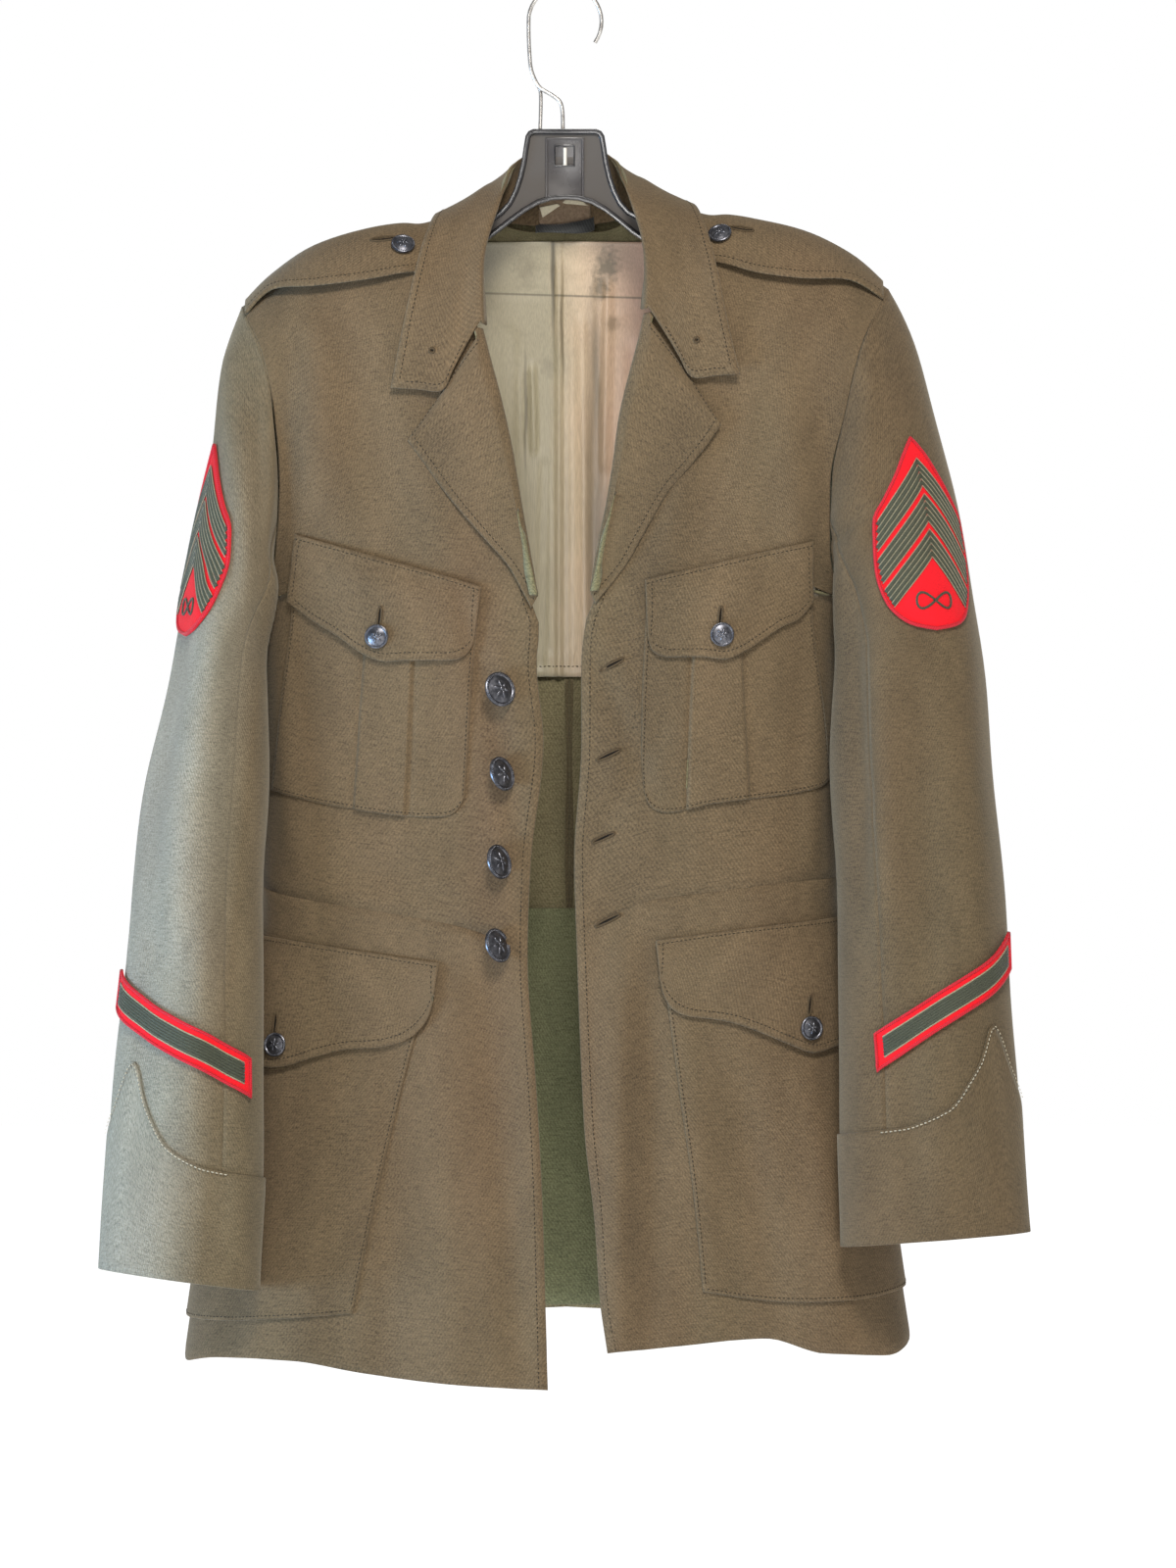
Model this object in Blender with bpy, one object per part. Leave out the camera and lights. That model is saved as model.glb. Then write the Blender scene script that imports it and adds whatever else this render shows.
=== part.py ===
# Single-breasted wool service coat hanging open on a clothes hanger.
# Lengths in the tables are millimetres; the meshes are made in metres. X is the viewer's right,
# -Y is the front of the coat and +Z is up. The origin is the inner top of the hanger's hook.

import math
from functools import lru_cache

import bmesh
import bpy
from mathutils import Vector

for oldObject in list(bpy.data.objects):
    bpy.data.objects.remove(oldObject, do_unlink=True)

mm = 0.001

clothWall = 2.0        # coat cloth with its backing
trimWall = 1.6         # pockets, flaps and patches
liningWall = 1.0
seamGap = 0.35         # between pieces that meet edge to edge
layGap = 1.0           # under a piece that lies on a curved panel
shoulderRound = 70.0   # height over which the shoulder turns from top to front
sectionPower = 2.4     # squareness of the body's level sections

left, right = -1, 1

# Level sections of the hanging coat
bodySections = (
    # height, middle, half width, front depth, back depth
    (-110, 0, 300, 36, 36),
    (-200, 0, 300, 50, 46),
    (-260, -4, 288, 60, 56),
    (-340, -8, 256, 70, 62),
    (-395, -10, 220, 75, 64),
    (-425, -10, 205, 76, 64),
    (-470, -10, 201, 76, 63),
    (-560, -10, 200, 74, 60),
    (-640, -10, 201, 71, 58),
    (-720, -10, 212, 73, 62),
    (-800, -10, 228, 77, 66),
    (-880, -11, 244, 82, 70),
    (-980, -12, 260, 89, 75),
)

# Line of the shoulders under the straps, across the neck opening too
shoulderRidge = (
    # across, height
    (-300, -330), (-245, -243), (-235, -231), (-224, -222), (-200, -204), (-171, -186),
    (-134, -173.5), (-88, -164), (-45, -145), (0, -130), (45, -139), (88, -158), (129, -166.5),
    (163, -175), (197, -191), (222, -208), (234, -218), (245, -230), (300, -320),
)

# Soft flutes that hang in the skirt, by share of the way round (0 front, 1 side, 2 back)
flutes = (
    # way round, spread, depth at the hem, height where it fades out
    (0.14, 0.14, 4.0, -700),
    (0.42, 0.14, -4.0, -690),
    (0.70, 0.13, 4.5, -720),
    (0.95, 0.12, -3.0, -760),
    (1.24, 0.14, 5.0, -700),
    (1.52, 0.14, -4.0, -720),
    (1.80, 0.13, 4.0, -700),
)

# Front opening: the edge of each front, from the neck down the roll line to the hem
frontEdges = {
    left: (
        # height, across
        (-150, -74), (-158, -70), (-172, -66), (-188, -62), (-205, -61), (-238, -61), (-281, -51),
        (-316, -43), (-362, -35), (-400, -28), (-426, -24), (-445, -18), (-470, -20), (-525, -15),
        (-607, -24), (-672, -26), (-771, -19.5), (-841, -16), (-914, -14), (-975, -12),
    ),
    right: (
        (-142, 74), (-152, 70), (-166, 66), (-182, 62), (-200, 60), (-227, 60), (-260, 53),
        (-298, 44), (-362, 35), (-400, 26), (-420, 23), (-445, 14), (-470, 12), (-525, 12),
        (-607, 7), (-655, 8.5), (-724, 11), (-795, 14.5), (-853, 20.5), (-907, 24), (-950, 30.5),
    ),
}

# Armhole seams: how far from the middle they run, in front and behind
armholes = {
    left: (
        # height, front, back
        (-222, 224, 224), (-256, 209, 212), (-296, 201, 204), (-343, 198, 201),
        (-395, 201, 206), (-414, 206, 210), (-425, 213, 213),
    ),
    right: (
        (-209, 224, 224), (-253, 204, 208), (-294, 194, 198), (-346, 184, 190),
        (-395, 185, 190), (-414, 189, 191), (-425, 194, 194),
    ),
}

# Waist seam and hem by share of the way round
waistSeam = (
    # way round, left height, right height
    (0.0, -673, -655), (0.12, -658, -643), (0.22, -651, -634), (0.5, -640, -626),
    (0.75, -632, -620), (1.0, -622, -617),
)
hemLine = (
    (0.0, -969, -944), (0.2, -966, -939), (0.45, -957, -934), (0.6, -950, -945),
    (0.8, -948, -947), (0.95, -951, -938), (1.05, -936, -928), (1.4, -926, -926),
    (2.0, -918, -918),
)

# Turned-back lapels: the roll and the outer edge, row by row from the gorge seam down
lapels = {
    left: (
        # roll across, roll height, edge across, edge height
        (-56.1, -239.5, -84.7, -284), (-52, -256, -107.8, -316.2), (-45.2, -281, -97, -331),
        (-37.1, -316, -85, -348), (-32, -345, -73.8, -362.4), (-28.5, -366, -62, -376),
        (-25, -385, -50, -389.5), (-22, -402, -37.7, -404), (-18.5, -422, -23, -431),
    ),
    right: (
        (54.5, -229, 87.4, -275), (51, -245, 107.1, -305.3), (46, -264, 98.5, -318),
        (37.7, -298, 85, -335), (33, -332, 72, -350), (28.5, -360, 62, -366),
        (24.3, -380, 52, -384), (20.5, -400, 41, -403), (17.5, -419, 21, -428),
    ),
}

# Collar stations from the left front end round the back of the neck to the right front end
collarStations = (
    # seam x, y, z, fold x, y, z, middle x, y, z, edge x, y, z
    (-53.5, -52, -236, -55.5, -63, -235, -84.7, -60, -281.5, -119.3, -66, -279.5),
    (-55, -46, -214, -56, -57, -205, -84, -56, -229, -111.3, -60, -238),
    (-58, -34, -190, -53.5, -44, -181, -79, -46, -195, -103, -52, -200),
    (-61, -16, -171, -46, -26, -156, -69, -28, -161, -95, -30, -169),
    (-62, 2, -161, -41, -6, -138, -62, 2, -143, -88, 8, -156),
    (-51, 16, -160, -35, 15, -123, -54, 30, -137, -79, 42, -167),
    (-31, 26, -163, -21, 33, -115, -35, 49, -138, -50, 60, -176),
    (0, 31, -164, 0, 41, -112, 0, 57, -138, 0, 66, -176),
    (31, 26, -161, 20, 33, -112, 35, 49, -134, 50, 60, -171),
    (51, 16, -155, 34, 15, -120, 53, 30, -132, 79, 42, -161),
    (62, 2, -155, 40, -6, -134, 62, 2, -138, 88, 8, -149.5),
    (61, -16, -165, 45, -26, -151, 69, -28, -155, 96, -30, -163),
    (58, -34, -184, 52, -44, -175, 79, -46, -188, 104, -52, -194.5),
    (54, -46, -208, 55, -57, -200, 84, -56, -222, 110.7, -60, -229),
    (52, -52, -225, 54.5, -63, -225, 87.4, -60, -272, 120, -66, -270),
)

# Shoulder straps: the height of the front edge and how far the strap stands off the shoulder
straps = {
    left: (
        # across, front height, lift
        (-85, -188, 3.5), (-92, -196, 3.6), (-101, -200, 4.0), (-113, -203, 7.5), (-136, -208, 9.0),
        (-171, -213, 10.0), (-200, -215, 8.0), (-220, -229, 3.4),
    ),
    right: (
        (85, -180, 3.5), (92, -188, 3.6), (101, -193, 4.0), (113, -197, 7.5), (133, -203, 8.5),
        (163, -207, 9.0), (195, -208, 8.0), (219, -218, 3.4),
    ),
}

# Sleeve sections, from the shoulder to the cuff
sleeveSections = {
    left: (
        # height, outer edge, inner edge, middle in depth, half depth
        (-225, 234, 150, 0, 50), (-250, 239, 150, 0, 58), (-273, 241, 150, 0, 62),
        (-324, 245, 156, -2, 67), (-374, 255, 168, -5, 69), (-421, 264, 186, -10, 70),
        (-470, 273, 203, -18, 68), (-553, 290, 203, -40, 62), (-621, 298, 207, -54, 57),
        (-682, 302, 208, -63, 52), (-757, 312, 207, -75, 46), (-801, 315, 207, -82, 43),
        (-892, 319.3, 210, -91, 38), (-930, 320, 211, -93, 37),
    ),
    right: (
        (-225, 243, 150, 0, 50), (-250, 249, 150, 0, 58), (-273, 253, 150, 0, 62),
        (-324, 264, 153, -2, 67), (-374, 276, 161, -5, 69), (-421, 284, 172, -10, 70),
        (-471, 291, 182, -18, 68), (-524, 294, 181, -33, 64), (-580, 299, 184, -45, 60),
        (-641, 304, 188, -56, 56), (-715, 309, 188, -66, 50), (-779, 314, 189, -76, 45),
        (-865, 319, 191, -84, 38), (-930, 320, 192, -88, 37),
    ),
}
sleeveEnds = {left: (-885, -900), right: (-860, -870)}   # cuff hem at the outer and inner edge
sleeveFold = -470      # below this height the sleeve's rings are level
sleeveSides = 24

# Pointed cuffs: height of the upper edge above the cuff's hem, round from the outer edge
cuffRise = (
    # degrees round, rise
    (0, 84), (25, 112), (42, 143), (58, 116), (80, 88), (110, 78), (180, 76), (250, 78),
    (320, 80), (360, 84),
)

# Patch pockets and flaps on the chest, as outlines seen from the front
breastPockets = {
    left: {
        "top": ((-60, -429), (-78, -424), (-102, -417), (-134, -407), (-160, -400), (-184, -392)),
        "bottom": ((-75, -572), (-92, -574.5), (-113, -573.5), (-145, -570), (-172, -565), (-201, -557)),
        "inner": ((-60, -429), (-64, -480), (-69, -539), (-75, -572)),
        "outer": ((-184, -392), (-190, -460), (-196, -515), (-201, -557)),
    },
    right: {
        "top": ((57, -424), (74, -420), (91, -415), (122, -407), (146, -402), (168, -397)),
        "bottom": ((57, -568), (78, -571), (101, -565), (134, -562), (158, -559), (182, -549)),
        "inner": ((57, -424), (54, -480), (53, -547), (57, -568)),
        "outer": ((168, -397), (172, -455), (178, -510), (182, -549)),
    },
}
breastFlaps = {
    left: {
        "top": ((-58, -417.5), (-90, -408), (-122, -399), (-154, -390), (-185, -381)),
        "bottom": ((-66, -463), (-98, -467), (-127, -468), (-156, -450), (-189, -426)),
    },
    right: {
        "top": ((55.4, -413), (84, -406), (113, -399), (142, -392), (170, -385.6)),
        "bottom": ((62, -463), (88, -466), (113, -466), (142, -447), (167, -430)),
    },
}

# Patch pockets and flaps on the skirt; the distances go round the body from its middle line
lowerPockets = {
    left: {
        "top": ((-92, -690), (-140, -684), (-195, -678), (-250, -672), (-312, -668)),
        "bottom": ((-147, -917), (-190, -921), (-240, -923), (-290, -921), (-345, -915)),
        "inner": ((-92, -690), (-110, -750), (-130, -835), (-147, -917)),
        "outer": ((-312, -668), (-323, -750), (-334, -830), (-345, -915)),
    },
    right: {
        "top": ((67, -674), (120, -668), (173, -663), (226, -658), (280, -655)),
        "bottom": ((95.5, -902), (148, -909), (200, -909), (250, -902), (305, -895)),
        "inner": ((67, -674), (77, -750), (88, -830), (95.5, -902)),
        "outer": ((280, -655), (289, -740), (297, -819), (305, -895)),
    },
}
lowerFlaps = {
    left: {
        "top": ((-87, -676.6), (-140, -669), (-204, -660), (-260, -655), (-317, -650)),
        "bottom": ((-92, -716), (-140, -736), (-204, -748), (-262, -729), (-316, -706)),
    },
    right: {
        "top": ((63, -661), (118, -654), (173, -648), (228, -643), (284, -640)),
        "bottom": ((72, -706), (124, -721), (173, -738.5), (230, -719), (284, -697)),
    },
}

# Buttons: where they sit on the front, seen from the front, and how far they stand off
frontButtons = ((-44.5, -488), (-46.6, -547), (-47.9, -607), (-48.6, -665))
frontButtonSize, pocketButtonSize = 25.0, 17.0
pocketButtons = {
    "breast_button_left": (left, -129, -451.5),
    "breast_button_right": (right, 108, -450),
    "lower_button_left": (left, -204, -733),
    "lower_button_right": (right, 173, -721.5),
}
strapButtons = {"strap_button_left": (left, -112, -181), "strap_button_right": (right, 107.5, -173.5)}

# Chevron patches high on the sleeves: widths along the sleeve's girth, heights down it
patchRows = (
    # height below the patch's top, half width, drop at the sides, raised
    (0, 24, 20, 0), (16, 37, 33, 0), (17, 37, 33, 1), (31, 38, 33, 1), (32, 38, 33, 0),
    (40, 38, 33, 0), (41, 38, 33, 1), (55, 38, 33, 1), (56, 38, 33, 0), (64, 38, 33, 0),
    (65, 38, 33, 1), (79, 37, 32, 1), (80, 37, 32, 0), (98, 35, 20, 0), (115, 32, 7, 0),
    (132, 27, -7, 0),
)
patchPlaces = {
    # height of the top, girth of the middle, clearance under the patch
    left: (-320, 16, 1.5),
    right: (-316, 60, 1.5),
}
stripeEnds = {
    # height at the low end and at the high end, girth there, width up the sleeve
    left: (-741, 122, -681, 6, 27), right: (-724, 122, -655, 14, 26),
}

hookRadius, wireRadius = 23.8, 1.4
hangerThickness = 9.0
hangerTop = -98.6


def read(table, key, column):
    """Smooth value of a column of a table whose first column is the key."""
    rows = sorted(table)
    if key <= rows[0][0]:
        return float(rows[0][column])
    if key >= rows[-1][0]:
        return float(rows[-1][column])
    at = max(i for i, row in enumerate(rows) if row[0] <= key)
    before, after = rows[at], rows[at + 1]
    span = after[0] - before[0]
    slope = (after[column] - before[column]) / span

    def tangent(i):
        if i <= 0 or i >= len(rows) - 1:
            return slope
        a = (rows[i][column] - rows[i - 1][column]) / (rows[i][0] - rows[i - 1][0])
        b = (rows[i + 1][column] - rows[i][column]) / (rows[i + 1][0] - rows[i][0])
        return 0.0 if a * b <= 0 else 2 * a * b / (a + b)

    t = (key - before[0]) / span
    m0, m1 = tangent(at) * span, tangent(at + 1) * span
    curve = (2 * t ** 3 - 3 * t ** 2 + 1) * before[column] + (t ** 3 - 2 * t ** 2 + t) * m0
    return curve + (3 * t ** 2 - 2 * t ** 3) * after[column] + (t ** 3 - t ** 2) * m1


def mix(a, b, share):
    return a + (b - a) * share


def ease(share):
    share = min(1.0, max(0.0, share))
    return share * share * (3 - 2 * share)


@lru_cache(maxsize=None)
def section(height):
    """Middle, half width, front depth and back depth of the body at a height."""
    return tuple(read(bodySections, height, column) for column in (1, 2, 3, 4))


@lru_cache(maxsize=None)
def ridge(across):
    return read(shoulderRidge, across, 1)


def shoulderFactor(across, height):
    """Square of how much of its depth the body has under the shoulder line."""
    down = ridge(across) - height
    return 1.0 if down >= shoulderRound else 1 - (1 - down / shoulderRound) ** 2


def depthAt(across, height, behind=False):
    """Y of the coat's outer face, front or back, at a place seen from the front."""
    middle, width, front, back = section(height)
    share = max(0.0, 1 - min(1.0, abs(across - middle) / width) ** sectionPower)
    depth = share ** (1 / sectionPower) * math.sqrt(max(0.0, shoulderFactor(across, height)))
    return back * depth if behind else -front * depth


def fieldAt(p):
    """Zero on the body's surface and positive outside it."""
    middle, width, front, back = section(round(p.z, 2))
    share = max(0.0, 1 - min(1.0, abs(p.x - middle) / width) ** sectionPower)
    depth = (back if p.y > 0 else front) * share ** (1 / sectionPower)
    return p.y ** 2 - depth ** 2 * shoulderFactor(p.x, p.z)


def bodyNormal(p):
    step = 0.6
    steps = (Vector((step, 0, 0)), Vector((0, step, 0)), Vector((0, 0, step)))
    return Vector([fieldAt(p + s) - fieldAt(p - s) for s in steps]).normalized()


@lru_cache(maxsize=None)
def quarter(height, behind):
    """Arc lengths and shares of the half width along a quarter of the section."""
    middle, width, front, back = section(height)
    depth = back if behind else front
    arcs, shares, length, last = [], [], 0.0, None
    for i in range(61):
        angle = math.pi / 2 * i / 60
        share = math.sin(angle) ** (2 / sectionPower)
        spot = (width * share, depth * max(0.0, math.cos(angle)) ** (2 / sectionPower))
        if last:
            length += math.dist(spot, last)
        last = spot
        arcs.append(length)
        shares.append(share)
    return arcs, shares


def lookUp(keys, values, key):
    if key <= keys[0]:
        return values[0]
    for i in range(1, len(keys)):
        if key <= keys[i]:
            return mix(values[i - 1], values[i], (key - keys[i - 1]) / (keys[i] - keys[i - 1]))
    return values[-1]


def fluteDepth(way, height):
    total = 0.0
    for centre, spread, depth, fade in flutes:
        if height < fade:
            grow = ease((fade - height) / (fade + 960))
            total += depth * grow * math.exp(-((way - centre) / spread) ** 2)
    return total


def bodyPoint(side, way, height, lift=0.0):
    """Point of the body by the share of the way round: 0 front middle, 1 side, 2 back middle."""
    height = round(height, 3)
    behind = way > 1
    middle, width = section(height)[:2]
    arcs, shares = quarter(height, behind)
    turn = 2 - way if behind else way
    share = math.copysign(lookUp(arcs, shares, abs(turn) * arcs[-1]), turn)
    across = middle + side * width * share
    spot = Vector((across, depthAt(across, height, behind), height))
    return spot + bodyNormal(spot) * (lift + fluteDepth(way, height))


def wayOf(side, across, height, behind=False):
    """Share of the way round of a place seen from the front (or from behind)."""
    height = round(height, 3)
    middle, width = section(height)[:2]
    arcs, shares = quarter(height, behind)
    share = side * (across - middle) / width
    way = math.copysign(lookUp(shares, arcs, min(1.0, abs(share))) / arcs[-1], share)
    return 2 - way if behind else way


def frontPoint(side, across, height, lift=0.0):
    return bodyPoint(side, wayOf(side, across, height), height, lift)


def roundPoint(side, distance, height, lift=0.0):
    """Point a distance round the body from the middle line, past the side where it is long."""
    height = round(height, 3)
    middle = section(height)[0]
    reach = quarter(height, False)[0][-1]
    way = (abs(distance) - side * middle) / reach
    if way > 1:
        way = 1 + (way - 1) * reach / quarter(height, True)[0][-1]
    return bodyPoint(side, way, height, lift)


def gridNormals(grid, closed=False):
    """Normals of a grid of points, from the cross product of its two directions."""
    rows, cols = len(grid), len(grid[0])
    normals = []
    for i in range(rows):
        line = []
        for j in range(cols):
            before = grid[i][(j - 1) % cols] if closed else grid[i][max(0, j - 1)]
            after = grid[i][(j + 1) % cols] if closed else grid[i][min(cols - 1, j + 1)]
            above, below = grid[max(0, i - 1)][j], grid[min(rows - 1, i + 1)][j]
            line.append((after - before).cross(below - above).normalized())
        normals.append(line)
    return normals


def paint(name, colour, roughness, metallic=0.0):
    material = bpy.data.materials.get(name) or bpy.data.materials.new(name)
    material.use_nodes = True
    shader = material.node_tree.nodes["Principled BSDF"]
    shader.inputs["Base Color"].default_value = (*colour, 1)
    shader.inputs["Roughness"].default_value = roughness
    shader.inputs["Metallic"].default_value = metallic
    return material


coatWool = paint("coat wool", (0.125, 0.105, 0.062), 0.95)
liningSatin = paint("lining satin", (0.19, 0.15, 0.075), 0.45)
redFelt = paint("red felt", (0.30, 0.035, 0.03), 0.9)
labelCloth = paint("label cloth", (0.62, 0.56, 0.42), 0.8)
darkTape = paint("dark tape", (0.02, 0.02, 0.022), 0.6)
buttonMetal = paint("button metal", (0.07, 0.068, 0.065), 0.45, 0.9)
blackPlastic = paint("black plastic", (0.012, 0.012, 0.014), 0.25)
hookSteel = paint("hook steel", (0.55, 0.54, 0.52), 0.3, 1.0)


def addObject(name, mesh, material):
    piece = bpy.data.objects.new(name, mesh)
    bpy.context.scene.collection.objects.link(piece)
    mesh.materials.append(material)
    return piece


def closeWall(name, outer, inner, material, closed=False):
    """Cloth wall between an outer and an inner grid of points, with its edges closed."""
    rows, cols = len(outer), len(outer[0])
    spots = [p * mm for line in outer for p in line] + [p * mm for line in inner for p in line]
    shift = rows * cols

    def at(i, j, side=0):
        return side * shift + i * cols + j % cols

    faces = []
    last = cols if closed else cols - 1
    for i in range(rows - 1):
        for j in range(last):
            faces.append((at(i, j), at(i, j + 1), at(i + 1, j + 1), at(i + 1, j)))
            faces.append((at(i, j, 1), at(i + 1, j, 1), at(i + 1, j + 1, 1), at(i, j + 1, 1)))
    for j in range(last):
        faces.append((at(0, j), at(0, j, 1), at(0, j + 1, 1), at(0, j + 1)))
        faces.append((at(rows - 1, j), at(rows - 1, j + 1), at(rows - 1, j + 1, 1), at(rows - 1, j, 1)))
    if not closed:
        for i in range(rows - 1):
            faces.append((at(i, 0), at(i + 1, 0), at(i + 1, 0, 1), at(i, 0, 1)))
            j = cols - 1
            faces.append((at(i, j), at(i, j, 1), at(i + 1, j, 1), at(i + 1, j)))
    mesh = bpy.data.meshes.new(name)
    mesh.from_pydata(spots, [], faces)
    form = bmesh.new()
    form.from_mesh(mesh)
    bmesh.ops.recalc_face_normals(form, faces=form.faces)
    form.to_mesh(mesh)
    form.free()
    mesh.shade_smooth()
    mesh.set_sharp_from_angle(angle=math.radians(40))
    return addObject(name, mesh, material)


def polyAt(points, share):
    """Point of a broken line by share of its vertices, so that its corners stay."""
    place = share * (len(points) - 1)
    i = min(len(points) - 2, int(place))
    return tuple(mix(a, b, place - i) for a, b in zip(points[i], points[i + 1]))


def patchPlace(outline, u, v):
    """Place inside four boundary lines; without inner and outer lines they are straight."""
    top, bottom = outline["top"], outline["bottom"]
    inner = outline.get("inner", (top[0], bottom[0]))
    outer = outline.get("outer", (top[-1], bottom[-1]))
    a, b, c, d = polyAt(top, u), polyAt(bottom, u), polyAt(inner, v), polyAt(outer, v)
    place = []
    for k in (0, 1):
        corners = (
            mix(mix(top[0][k], top[-1][k], u), mix(bottom[0][k], bottom[-1][k], u), v)
        )
        place.append(mix(a[k], b[k], v) + mix(c[k], d[k], u) - corners)
    return place


def layPatch(name, side, outline, placer, across, down, base, wall, material):
    """Patch that lies on the body; base and wall give its lift and thickness over it."""
    outer, inner = [], []
    for v in down:
        places = [(u, patchPlace(outline, u, v)) for u in across]
        inner.append([placer(side, a, z, base(u, v)) for u, (a, z) in places])
        outer.append([placer(side, a, z, base(u, v) + wall(u, v)) for u, (a, z) in places])
    return closeWall(name, outer, inner, material)


def shares(count):
    return [i / count for i in range(count + 1)]


def sideName(side):
    return "left" if side == left else "right"


def towardsSide(count):
    """Shares from the middle to the side that lie closer together where the body turns."""
    return [1 - (1 - s) ** 1.35 for s in shares(count)]


panelColumns = 14
armRows = sleeveSides // 2   # rows of a panel beside the armhole, as many as half the sleeve's columns
neckPoint = 70.0       # where the shoulder seams meet the neck, from the middle


# Fronts

def armDrop(side, i):
    """Height of the i-th point of the armhole seam, from the shoulder tip to the underarm."""
    low, tip = armholes[side][-1][0], armholes[side][0]
    top = ridge(side * tip[1])
    return mix(top, low, (1 - math.cos(math.pi * i / armRows)) / 2)


def rowShares(side, low, rows):
    """Shares of the way down a panel: beside the armhole they meet the sleeve's columns."""
    top = armDrop(side, 0)
    out = [(top - armDrop(side, i)) / (top - low) for i in range(armRows + 1)]
    return out + [mix(out[-1], 1.0, share) for share in shares(rows)[1:]]


def besideArmhole(height, rim, away, i):
    """Rows of a panel run level beside the armhole, most of all at the underarm."""
    near = 1 - abs(i - armRows) / (armRows if i < armRows else 5)
    return mix(height, rim, max(0.0, near) * (1 - ease(away / 0.35)))


def frontGrid(side, lift):
    """Rows fall from the shoulder seam to the waist seam; columns run from edge to armhole."""
    column = 1 if side == left else 2
    tip = armholes[side][0]
    rows = rowShares(side, waistSeam[-1][column], 6)
    grid = []
    for i, share in enumerate(rows):
        line = []
        for c in towardsSide(panelColumns):
            topAcross = side * mix(neckPoint, tip[1], c)
            top = ridge(topAcross)
            height = mix(top, read(waistSeam, c, column) + seamGap / 2, share)
            rim = mix(ridge(side * tip[1]), read(waistSeam, 1.0, column) + seamGap / 2, share)
            height = besideArmhole(height, rim, 1 - c, i)
            edge = wayOf(side, read(frontEdges[side], height, 1), height)
            seam = 1.0
            if i < armRows:
                seam = wayOf(side, side * (read(armholes[side], height, 1) - seamGap), height)
            way = mix(edge, seam, c)
            hold = 1 - ease((top - height) / 130)
            way = mix(way, wayOf(side, topAcross, height), hold if 0 < c < 1 else 0)
            way = min(way, mix(edge, seam, 0.4 + 0.6 * c))
            line.append(onShoulder(side, way, height, lift, topAcross, i == 0))
        grid.append(line)
    return grid


def onShoulder(side, way, height, lift, topAcross, isTop, behind=False):
    if isTop:
        spot = Vector((topAcross, 0.0, height))
        spot += bodyNormal(spot) * lift
        spot.y += seamGap / 2 if behind else -seamGap / 2
        return spot
    if abs(way - 1.0) < 1e-6:
        spot = bodyPoint(side, way, height, lift)
        spot.y += seamGap / 2 if behind else -seamGap / 2
        return spot
    return bodyPoint(side, way, height, lift)


def makeFronts():
    for side in (left, right):
        walls = [frontGrid(side, lift) for lift in (0, -clothWall)]
        closeWall("front_" + sideName(side), walls[0], walls[1], coatWool)
        skirt = {}
        for lift in (0, -clothWall):
            rows = []
            for r in shares(8):
                line = []
                for c in towardsSide(panelColumns):
                    column = 1 if side == left else 2
                    top = read(waistSeam, c, column) - seamGap / 2
                    height = mix(top, read(hemLine, c, column), r)
                    edge = wayOf(side, read(frontEdges[side], height, 1), height)
                    line.append(onShoulder(side, mix(edge, 1.0, c), height, lift, 0, False))
                rows.append(line)
            skirt[lift] = rows
        closeWall("skirt_" + sideName(side), skirt[0], skirt[-clothWall], coatWool)


# Back

ventTop, ventWidth = -640.0, 34.0
neckShare = 0.62       # part of the back's width, from the side, that lies under the shoulder
backNeckHeight = -168.0


def backGrid(side, lift):
    """Rows fall from the shoulder and the neck to the hem; columns run from side to middle."""
    column = 1 if side == left else 2
    tip = armholes[side][0]
    grid = []
    for i, share in enumerate(rowShares(side, read(hemLine, 1.0, column), 7)):
        line = []
        for c in (s ** 1.25 for s in shares(panelColumns - 2)):
            past = max(0.0, c - neckShare) / (1 - neckShare)
            topAcross = side * (mix(tip[2], neckPoint, min(1.0, c / neckShare)) - neckPoint * past)
            top = mix(ridge(side * neckPoint), backNeckHeight, ease(past * 1.5)) if past else ridge(topAcross)
            height = mix(top, read(hemLine, 1 + c, column), share)
            rim = mix(ridge(side * tip[2]), read(hemLine, 1.0, column), share)
            height = besideArmhole(height, rim, c, i)
            seam = 1.0
            if i < armRows:
                seam = wayOf(side, side * (read(armholes[side], height, 2) - seamGap), height, True)
            way = mix(seam, wayOf(side, side * seamGap / 2, height, True), c)
            hold = 1 - ease((top - height) / 130)
            if 0 < c < 1:
                way = mix(way, wayOf(side, topAcross, height, True), hold)
            line.append(onShoulder(side, way, height, lift, topAcross, i == 0 and not past, True))
        grid.append(line)
    return grid


def makeBacks():
    for side in (left, right):
        walls = [backGrid(side, lift) for lift in (0, -clothWall)]
        closeWall("back_" + sideName(side), walls[0], walls[1], coatWool)
    under = {}
    for lift in (-clothWall - layGap, -2 * clothWall - layGap):
        rows = []
        for r in shares(8):
            height = mix(ventTop, read(hemLine, 2.0, 1) + 2, r)
            spots = [mix(-ventWidth, 10, share) for share in shares(3)]
            ways = [wayOf(right, across, height, True) for across in spots]
            rows.append([bodyPoint(right, way, height, lift) for way in ways])
        under[lift] = rows
    lifts = sorted(under)
    closeWall("vent_underlap", under[lifts[1]], under[lifts[0]], coatWool)


# Lapels

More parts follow.
